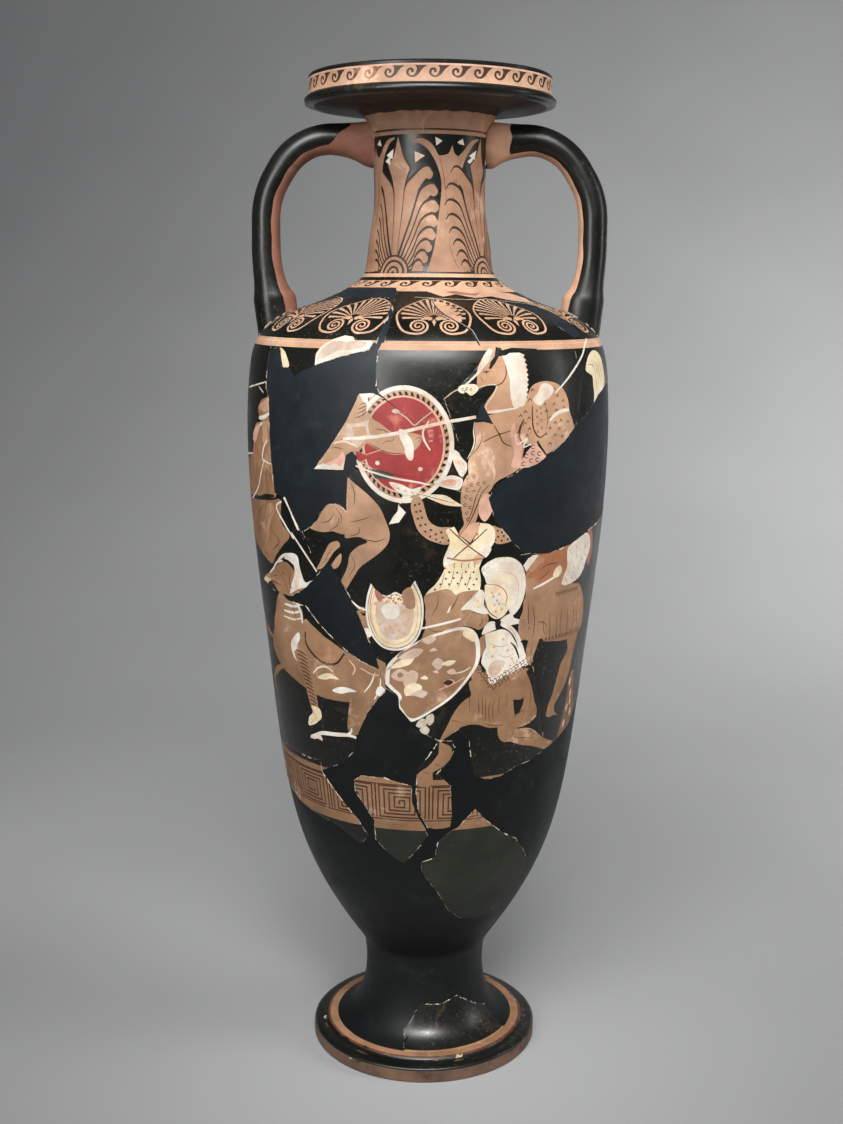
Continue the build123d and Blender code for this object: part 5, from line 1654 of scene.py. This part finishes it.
def fired(name, colour, other, under, worn=0.2, rough=(0.45, 0.7), relief=0.00012, specks=None,
          speck_share=0.3, gloss=0.4, flakes=24.0, foot=None):
    """A fired or painted clay surface.

    colour and other mix in soft clouds, under shows where the paint is worn away, and specks are
    small deposits.  flakes is the scale of the worn places, and foot a colour that takes over
    towards the foot of the vessel, as painted shade on the lower body.
    """
    n = Nodes(name)
    clouds = n.noise(11.0, 5.0, 0.6)
    body = n.mix(n.remap(clouds, 0.36, 0.66), srgb(*colour), srgb(*other))
    # painted shade: towards the bottom the colour gives way to the darker foot colour
    if foot:
        height = n.add("SeparateXYZ", Vector=n.place).outputs["Z"]
        body = n.mix(n.remap(height, 0.36, 0.67, 1.0, 0.0), body, srgb(*foot))
    fine = n.noise(MOTTLE, 8.0, 0.68)
    body = n.mix(n.remap(fine, 0.32, 0.72, 0.0, 0.62), body,
                 n.mix(1.0, body, srgb(150, 142, 132), "MULTIPLY"))
    wear = n.noise(flakes, 9.0, 0.72, distortion=0.6)
    patch = n.noise(6.0, 3.0, 0.5)
    worn_here = n.math("MULTIPLY", n.remap(wear, 0.60 - 0.12 * worn, 0.66),
                       n.remap(patch, 0.40, 0.62, worn * 0.5, min(1.0, worn * 2.2)))
    body = n.mix(worn_here, body, srgb(*under))
    if specks:
        dots = n.noise(GRAIN * 1.2, 3.0, 0.7)
        where = n.noise(16.0, 4.0, 0.6)
        speck = n.math("MULTIPLY", n.remap(dots, 0.60, 0.70),
                       n.remap(where, 0.42, 0.66, 0.15 * speck_share, speck_share))
        body = n.mix(speck, body, srgb(*specks))
    shader = n.add("BsdfPrincipled", Base_Color=body)
    shader.inputs["Specular IOR Level"].default_value = gloss
    rough_map = n.remap(n.noise(30.0, 6.0, 0.65), 0.3, 0.7, rough[0], rough[1])
    rough_map = n.math("ADD", rough_map, n.math("MULTIPLY", worn_here, 0.25))
    n.tree.links.new(rough_map, shader.inputs["Roughness"])
    low = n.math("MULTIPLY", n.noise(70.0, 3.0, 0.5), 1.6)
    height = n.math("ADD", n.math("ADD", low, n.noise(GRAIN, 4.0, 0.6)),
                    n.math("MULTIPLY", worn_here, -0.5))
    bump = n.add("Bump", Strength=0.55, Distance=relief, Height=height)
    n.tree.links.new(bump.outputs["Normal"], shader.inputs["Normal"])
    n.add("OutputMaterial", Surface=shader.outputs["BSDF"])
    return n.material


MATERIALS = {
    "gloss": fired("black_gloss", (9, 12, 9), (17, 18, 13), (86, 66, 46), worn=0.12,
                   rough=(0.24, 0.42), relief=0.00010, specks=(150, 128, 104), speck_share=0.32,
                   gloss=0.5),
    "ash": fired("greyed_gloss", (31, 36, 28), (43, 46, 37), (76, 68, 54), worn=0.25,
                 rough=(0.5, 0.68), specks=(110, 104, 88), speck_share=0.25, gloss=0.3),
    # the reserved clay grows darker towards the foot: painted shade on the lower body
    "clay": fired("reserved_clay", (200, 164, 136), (184, 143, 113), (216, 184, 162), worn=0.35,
                  rough=(0.55, 0.78), specks=(126, 90, 66), foot=(134, 101, 73)),
    # the neck's clay, darker than the body's clay: painted shade under the mouth
    "buff": fired("neck_clay_painted_shade", (162, 126, 102), (146, 108, 84), (186, 152, 128), worn=0.35,
                  rough=(0.55, 0.78), specks=(112, 80, 60)),
    "brown": fired("relief_line", (52, 33, 22), (72, 45, 29), (170, 120, 88), worn=0.4,
                   rough=(0.4, 0.6)),
    "rim": fired("rim_clay", (184, 150, 126), (168, 130, 104), (206, 176, 154), worn=0.35,
                 rough=(0.55, 0.78), specks=(120, 88, 66)),
    # dark lines of the neck palmettes, and dark clay with painted shade under the mouth
    "umber": fired("dark_clay_and_painted_shade", (50, 37, 28), (36, 28, 22), (96, 72, 54), worn=0.25,
                   rough=(0.5, 0.7)),
    "white": fired("added_white", (222, 219, 210), (206, 197, 182), (188, 152, 126), worn=0.8,
                   rough=(0.65, 0.85), specks=(150, 118, 92), relief=0.00022, flakes=44.0),
    "cream": fired("cream_wash", (216, 198, 156), (222, 210, 186), (188, 148, 114), worn=0.7,
                   rough=(0.6, 0.8), specks=(150, 110, 70), relief=0.0002, flakes=44.0),
    "thin": fired("thin_white", (204, 194, 182), (186, 168, 150), (170, 130, 102), worn=1.5,
                  rough=(0.6, 0.85), specks=(120, 92, 74), relief=0.00022, flakes=58.0),
    "rose": fired("pink_line", (214, 176, 156), (200, 150, 128), (170, 110, 84), worn=0.3,
                  rough=(0.6, 0.8)),
    "red": fired("red_field", (160, 56, 54), (140, 46, 44), (192, 120, 104), worn=0.5,
                 rough=(0.5, 0.7), specks=(196, 120, 96), relief=0.0002),
    "olive": fired("shaded_clay", (158, 119, 88), (134, 98, 70), (180, 142, 112), worn=0.3,
                   rough=(0.5, 0.72), specks=(80, 62, 44)),
    "tan": fired("bare_clay", (204, 166, 138), (190, 144, 116), (220, 190, 168), worn=0.3,
                 rough=(0.65, 0.85), specks=(140, 98, 70), relief=0.0002),
    "flush": fired("flushed_clay", (158, 110, 92), (146, 98, 80), (182, 138, 116), worn=0.3,
                   rough=(0.6, 0.8), specks=(110, 70, 56), relief=0.0002),
    "orange": fired("orange_wash", (172, 116, 82), (150, 96, 66), (196, 150, 118), worn=0.3,
                    rough=(0.5, 0.7), specks=(90, 56, 40)),
    "sienna": fired("burnt_ring", (98, 54, 40), (78, 42, 32), (140, 92, 68), worn=0.4,
                    rough=(0.45, 0.65), specks=(40, 30, 24)),
    "dull": fired("foot_edge_clay", (112, 86, 68), (84, 64, 52), (40, 32, 26), worn=0.6,
                  rough=(0.5, 0.75), specks=(44, 36, 30)),
    # clay painted dark as painted shade, at the far right of the lower register
    "pink": fired("far_clay_painted_shade", (134, 106, 90), (108, 84, 70), (80, 62, 50), worn=0.6,
                  rough=(0.6, 0.8), specks=(96, 64, 50)),
    "teal": fired("green_patch", (52, 70, 66), (38, 54, 50), (92, 84, 66), worn=0.3,
                  rough=(0.5, 0.7)),
    "chip": fired("pale_chip", (196, 187, 172), (166, 153, 134), (130, 106, 86), worn=0.4,
                  rough=(0.75, 0.92), specks=(130, 108, 88), relief=0.0003),
    # the modern fill grows darker towards the foot: painted shade on the lower body
    "fill": fired("modern_fill", (27, 34, 40), (34, 41, 47), (46, 50, 51), worn=0.2,
                  rough=(0.42, 0.6), relief=0.00009, specks=(96, 96, 92), speck_share=0.12,
                  gloss=0.25, foot=(10, 14, 15)),
    "break": fired("broken_clay", (188, 128, 90), (170, 112, 78), (204, 150, 112), worn=0.3,
                   rough=(0.75, 0.95), specks=(120, 84, 60), relief=0.0004),
}


# ------------------------------------------------------------------ the wall
def build_wall():
    """Cuts and lifts the whole painted wall."""
    outlines = {name: on_chart(name, outline)
                for _, pieces, _ in COURSES for name, outline in pieces}
    paint = body_paint.outlines()
    sheet = Sheet(wall, paint + list(outlines.values()), [wall.t_at(h) for h, _, _ in COURSES[:-1]])
    colour = body_paint.colour_of(sheet.mark(paint))
    left = np.ones(len(sheet.tris), bool)
    low = 0.0
    for top_height, pieces, inner in COURSES:
        top = wall.t_at(top_height)
        course = (sheet.centres[:, 1] > low) & (sheet.centres[:, 1] < top)
        low = top
        for name, _ in pieces:
            mine = np.flatnonzero((sheet.mark([outlines[name]]) == 0) & left & course)
            left[mine] = False
            filled = name in FILLS
            looks = colour[mine]
            if filled:                      # of all the paint, only chips lie over the fills
                looks = np.where(looks == "chip", "chip", "fill")
            sherd(sheet, name, mine, looks, inner, FILL_SUNK if filled else 0.0,
                  0.0 if filled else EDGE_DROP, "fill" if filled else "break",
                  floor=(STEM_TOP, FLOOR_FOOT) if name == "stem_fill" else None)
    print("triangles on the wall", len(sheet.tris), "left over", int(left.sum()))


wall_bands()
shoulder_wear()
upper_figures(pen)
lower_figures(pen)
back_figures()
wear(pen)
chip_edges()
build_wall()


# ------------------------------------------------------------------ mouth
MOUTH_RUNS = [
    [(51.0, 833), (54.5, 844), (64.0, 851.5)],
    [(64.0, 851.5), (104.0, 855.0)],
    [(104.0, 855.0), (107.2, 855.9), (108.5, 858.4), (107.6, 861.2), (105.7, 862.5)],
    [(105.7, 862.5), (104.6, 865), (104.2, 876), (104.4, 878.8)],
    [(104.4, 878.8), (103.4, 880)],
    [(103.4, 880), (98.2, 880)],
    [(98.2, 880), (97.0, 879)],
    [(97.0, 879), (94.0, 876)],
    [(94.0, 876), (66.0, 864), (47.0, 850), (40.0, 833)],
    [(40.0, 833), (51.0, 833)],
]


def build_mouth():
    """The flaring mouth: a dark lip under an upright band with running waves."""
    profile = Profile(*MOUTH_RUNS)
    rim = profile.runs[3]
    paint = Painting()

    def t_of(height):
        """Chart length of a height on the upright band."""
        return float(np.interp(height, rim[1][:, 1], rim[0]))
    rng = random.Random(5)
    root = float(profile.runs[0][0][-1])
    edge = [(SEAM * GIRTH + k * 5 * GIRTH, root - 9 + rng.uniform(-0.8, 0.8)) for k in range(73)]
    edge[-1] = (edge[-1][0], edge[0][1])
    # painted shade over dark clay: the underside of the rim and the top of the neck's flare
    band(paint, -1.0, root + 36, "umber")
    # the buff below the umber is the neck's clay in painted shade
    paint.fill([(SEAM * GIRTH, -1.0), ((SEAM + 360) * GIRTH, -1.0)] + edge[::-1], "buff")
    band(paint, t_of(862.8), t_of(875.6), "rim")
    running_wave(paint, t_of(865.2), t_of(875.0), 36, "brown")
    band(paint, t_of(875.6), t_of(876.6), "rose")
    whole_ring("mouth", profile, paint, 4.5)


build_mouth()

# ------------------------------------------------------------------ foot ring
FOOT_RUNS = [
    [(89.0, 0), (104.0, 0)],
    [(104.0, 0), (104.9, 0.35), (105.2, 1.2)],
    [(105.2, 1.2), (105.2, 11.2)],
    [(105.2, 11.2), (104.8, 12.9), (103.2, 13.7), (98.0, 14.5), (94.6, 14.8)],
    [(94.6, 14.8), (93.0, 15.6), (92.4, 16.8), (91.0, 17.7), (88.0, 18.0)],
    [(88.0, 18.0), (78.0, 18.0)],
    [(78.0, 18.0), (80.5, 12), (84.0, 6)],
    [(84.0, 6), (88.2, 0.6), (89.0, 0)],
]


def build_foot():
    """The spreading foot, with its reserved edge."""
    profile = Profile(*FOOT_RUNS)
    stops = [float(run[0][-1]) for run in profile.runs]
    paint = Painting()
    band(paint, 0.0, stops[2] + 0.4, "dull")
    band(paint, stops[3] + 3.2, stops[3] + 5.4, "sienna")
    band(paint, stops[3] + 5.4, profile.length, "olive")
    rng = random.Random(21)
    for _ in range(46):                             # worn and chipped places along the mouldings
        az, wide = rng.uniform(-174, 174), rng.uniform(1.0, 5.0)
        low = rng.choice((stops[2] - 1.5, stops[3] - 2.5, stops[3] + 1.5, stops[3] + 3.5))
        high = low + rng.uniform(1.2, 3.6)
        shape = [(az - wide, low), (az - wide / 2, high), (az + wide / 3, (low + high) / 2),
                 (az + wide, high), (az + wide / 2, low)]
        paint.fill([(x * GIRTH, t) for x, t in shape], rng.choice(("gloss", "gloss", "dull", "chip")
                                                                  if wide < 3 else ("gloss", "dull")))
    for az, wide in ((12, 6), (-54, 8)):            # the two long dark breaks in the ring
        paint.fill([((az + x * wide) * GIRTH, stops[3] + t) for x, t in
                    ((-1, 0), (-0.7, 4), (-0.2, 2.6), (0.3, 5), (0.8, 3), (1, -1))], "gloss")
    whole_ring("foot_ring", profile, paint, 4.0)


build_foot()

# ------------------------------------------------------------------ handles
HANDLE_CORNERS = [(44.0, 829.0), (113.0, 829.0), (142.5, 780.0), (143.0, 728.0), (136.0, 668.0)]
HANDLE_BENDS = [52.0, 70.0, 200.0]
HANDLE_THICKNESS, HANDLE_WIDTH = 25.0, 32.0
HANDLE_SKIN, HANDLE_BAND = 28, 12    # sides of the roll's outline, on its black part and its band
ROLL_STEP = 3.0                     # spacing of the points on the roll's middle line
HANDLE_ROWS, STUB_ROWS = 100, 8      # rows of points along the roll, and those on its stub
STUB_TRACK = 28                     # points from the neck outwards that reach past the stub
NECK_ROOT = 701.0                   # above this height the handle meets the neck, below the shoulder
HANDLE_ROOT = 24.0                  # how far the roll runs on into the shoulder before it is trimmed


def rounded_line(corners, bends, step):
    """Points along a line whose corners are rounded to the given radii."""
    out = [Vector(corners[0])]
    for before, corner, after, radius in zip(corners, corners[1:], corners[2:], bends):
        p = Vector(corner)
        a, b = (Vector(before) - p).normalized(), (Vector(after) - p).normalized()
        half = a.angle(b) / 2
        reach = radius / math.tan(half)
        centre = p + (a + b).normalized() * radius / math.sin(half)
        start, end = p + a * reach - centre, p + b * reach - centre
        turn = start.angle_signed(end)
        n = max(2, int(abs(turn) * radius / step))
        for k in range(n + 1):
            angle = -turn * k / n
            out.append(centre + Vector((start.x * math.cos(angle) - start.y * math.sin(angle),
                                        start.x * math.sin(angle) + start.y * math.cos(angle))))
    last = Vector(corners[-1])
    out += [last, last + (last - Vector(corners[-2])).normalized() * HANDLE_ROOT]
    return out


def outside_wall(point):
    """Whether a point (x, y, z) in millimetres is clear of the vessel's outside."""
    r = math.hypot(point[0], point[1])
    z = point[2]
    if z > NECK_TOP:
        radii, heights = zip(*MOUTH_RUNS[0], MOUTH_RUNS[1][-1])
        return r > float(np.interp(z, heights, radii))
    _, line, _ = wall.runs[0]
    if z > NECK_ROOT:
        top = line[:, 1] > NECK_ROOT
        return r > float(np.interp(z, line[top, 1], line[top, 0]))
    slope = (line[:, 1] > NECK_ROOT - 61) & (line[:, 1] < NECK_ROOT + 15)
    return r > 150 or z > float(np.interp(-r, -line[slope, 0], line[slope, 1]))


def skin_between(inner, outer):
    """The place where the way from a point in the vessel to one outside it passes the skin."""
    for _ in range(12):
        middle = inner.lerp(outer, 0.5)
        if outside_wall(middle):
            outer = middle
        else:
            inner = middle
    return inner


def roll_section(side, p, along):
    """The handle's outline round one point of its line, with the band's edges on fixed corners."""
    out = Vector((-along.y, along.x))
    wobble = 2.5 * math.sin(0.045 * (p.x + p.y) + side) + 1.6 * math.sin(0.17 * (p.x - 1.3 * p.y))
    edge = (42 if side > 0 else 58) + wobble            # half the band's arc, degrees
    turn = np.concatenate([np.linspace(-90 + edge, 270 - edge, HANDLE_SKIN, endpoint=False),
                           np.linspace(270 - edge, 270 + edge, HANDLE_BAND, endpoint=False)])
    at_neck = math.exp(-max(0.0, p.x - 55) / 14) if p.y > 800 else 0.0
    at_shoulder = math.exp(-max(0.0, p.y - 694) / 9) if p.y < 760 else 0.0
    ring = []
    for a in np.radians(turn):
        high, wide = HANDLE_THICKNESS / 2 * math.sin(a), HANDLE_WIDTH / 2 * math.cos(a)
        under = max(0.0, -math.sin(a))
        high += -12 * under * at_neck + 2.0 * max(0.0, math.sin(a)) * at_neck
        high += (-9 * under + 3 * max(0.0, math.sin(a))) * at_shoulder
        wide *= 1 + 0.12 * at_neck + 0.14 * at_shoulder
        ripple = 1 + 0.012 * math.sin(0.05 * (p.x - p.y) + 1.7 * side)
        off = out * high * ripple
        ring.append((Vector((p.x + off.x, wide * ripple, p.y + off.y)), math.sin(a)))
    return ring


def handle_grid(side):
    """Points on the roll from neck to shoulder, trimmed to them, by place round it and along it."""
    corners = rounded_line(HANDLE_CORNERS, HANDLE_BENDS, ROLL_STEP)
    line = [corners[0]]
    for a, b in zip(corners, corners[1:]):
        n = max(1, round((b - a).length / ROLL_STEP))
        line += [a.lerp(b, k / n) for k in range(1, n + 1)]
    rings = [roll_section(side, p,
                          (line[min(i + 1, len(line) - 1)] - line[max(i - 1, 0)]).normalized())
             for i, p in enumerate(line)]
    grid = []
    for k in range(HANDLE_SKIN + HANDLE_BAND):
        track = [ring[k][0] for ring in rings]
        lean = rings[STUB_ROWS][k][1]
        clear = [i for i, p in enumerate(track) if outside_wall(p)]
        first, last = clear[0], clear[-1]
        points = [skin_between(track[first - 1], track[first]), *track[first:last + 1],
                  skin_between(track[last + 1], track[last])]
        s = np.concatenate([[0], np.cumsum([(q - p).length for p, q in zip(points, points[1:])])])
        reach = (69 if side > 0 else 80 - 14 * lean) + math.sin(0.9 * k)
        bare = np.interp(reach, [p.x for p in points[:STUB_TRACK]], s[:STUB_TRACK])
        even = np.concatenate([[0, 0.9], np.linspace(2.4, bare, STUB_ROWS - 2, endpoint=False),
                               np.linspace(bare, s[-1] - 1.0, HANDLE_ROWS - STUB_ROWS - 1),
                               [s[-1]]])
        xyz = np.array([tuple(p) for p in points])
        grid.append(np.column_stack([np.interp(even, s, xyz[:, j]) for j in range(3)]))
    return np.array(grid)


def build_handle(name, side):
    """A handle: an oval roll that swells into the neck and the shoulder."""
    grid = handle_grid(side)
    around = len(grid)
    rng = random.Random(3 + side)
    verts, faces, slots = [], [], []
    for j in range(HANDLE_ROWS):
        verts += [(side * x * MM, y * MM, z * MM) for x, y, z in grid[:, j]]
    inner_colour = "tan" if side > 0 else "flush"
    for j in range(HANDLE_ROWS - 1):
        for k in range(around):
            m = (k + 1) % around
            a, b, c, d = j * around + k, j * around + m, (j + 1) * around + m, (j + 1) * around + k
            faces.append((a, b, c, d) if side > 0 else (d, c, b, a))
            if j in (0, HANDLE_ROWS - 2) and rng.random() < 0.5:     # the joints to the vessel
                slots.append("chip")
            elif k >= HANDLE_SKIN or j < STUB_ROWS:
                slots.append(inner_colour)
            else:
                slots.append("gloss")
    centre = grid.mean(axis=0)
    for j, flip in ((0, True), (HANDLE_ROWS - 1, False)):
        middle = len(verts)
        beyond = centre[j] - centre[j + (1 if flip else -1)]
        mean = centre[j] + beyond / max(1e-6, float(np.linalg.norm(beyond))) * 4
        verts.append((side * mean[0] * MM, mean[1] * MM, mean[2] * MM))
        for k in range(around):
            a, b = j * around + k, j * around + (k + 1) % around
            tri = (b, a, middle) if flip else (a, b, middle)
            faces.append(tri if side > 0 else tri[::-1])
            slots.append("break")
    make_piece(name, verts, faces, None, slots)


build_handle("handle_right", 1)
build_handle("handle_left", -1)


# ------------------------------------------------------------------ stage, light and camera
def stage_material():
    """Matt pale paper with a faint unevenness."""
    n = Nodes("studio_paper")
    tone = n.mix(n.remap(n.noise(1.5, 2.0), 0.3, 0.7), srgb(143, 144, 145), srgb(149, 150, 151))
    shader = n.add("BsdfPrincipled", Base_Color=tone, Roughness=0.85)
    n.add("OutputMaterial", Surface=shader.outputs["BSDF"])
    return n.material


def build_stage():
    """A floor that sweeps up into a backdrop."""
    start, radius, steps, half_width, top = 0.9, 2.8, 30, 7.0, 6.0
    line = [(-6.0, 0.0), (start, 0.0)]
    for k in range(1, steps + 1):
        a = math.pi / 2 * k / steps
        line.append((start + radius * math.sin(a), radius - radius * math.cos(a)))
    line.append((start + radius, top))
    verts = [(x, y, z) for x in (-half_width, half_width) for y, z in line]
    n = len(line)
    faces = [(i, n + i, n + i + 1, i + 1) for i in range(n - 1)]
    mesh = bpy.data.meshes.new("floor")
    mesh.from_pydata(verts, [], faces)
    mesh.polygons.foreach_set("use_smooth", [True] * len(faces))
    mesh.materials.append(stage_material())
    new_object("floor", mesh)


def area_light(name, place, aim, size, power, spread=180, glossy=True):
    """A soft rectangular lamp that looks at a point."""
    data = bpy.data.lights.new(name, "AREA")
    data.shape = "RECTANGLE"
    data.size, data.size_y = size
    data.energy = power
    data.spread = math.radians(spread)
    data.color = (1.0, 0.99, 0.98)
    lamp = new_object(name, data)
    lamp.location = place
    lamp.rotation_euler = (Vector(aim) - Vector(place)).to_track_quat("-Z", "Y").to_euler()
    lamp.visible_glossy = glossy


build_stage()
area_light("key", (-0.1, -1.15, 1.72), (0, 0, 0.78), (1.6, 0.9), 10.8, 72)
area_light("window", (-0.95, -1.35, 0.95), (0, 0, 0.62), (0.7, 0.9), 5, 110)
area_light("side", (1.9, -0.5, 1.0), (0, 0, 0.6), (0.5, 1.2), 10, 110, glossy=False)
area_light("fill", (-1.8, -0.9, 0.9), (0, 0, 0.45), (0.8, 1.4), 4, glossy=False)
area_light("foot", (0.1, -0.95, 1.1), (0.02, -0.05, 0.03), (0.30, 0.10), 0.35, 34)
area_light("sweep", (2.6, 0.3, 1.1), (0.5, 3.2, 0.1), (1.6, 1.4), 72, 116)
world = bpy.data.worlds.new("studio")
world.use_nodes = True
world.node_tree.nodes["Background"].inputs[0].default_value = (0.92, 0.95, 1.0, 1)
world.node_tree.nodes["Background"].inputs[1].default_value = 0.13
bpy.context.scene.world = world
bpy.context.scene.view_settings.view_transform = "Standard"

camera_data = bpy.data.cameras.new("camera")
camera_data.sensor_width = 36.0
camera_data.lens = 46.06
camera_data.shift_x = -0.0067
camera_data.clip_end = 50.0
camera = new_object("camera", camera_data)
camera.location = (0.0, -1.289, 0.7005)
camera.rotation_euler = (math.radians(90 - 10.69), math.radians(-0.4), 0.0)
bpy.context.scene.camera = camera
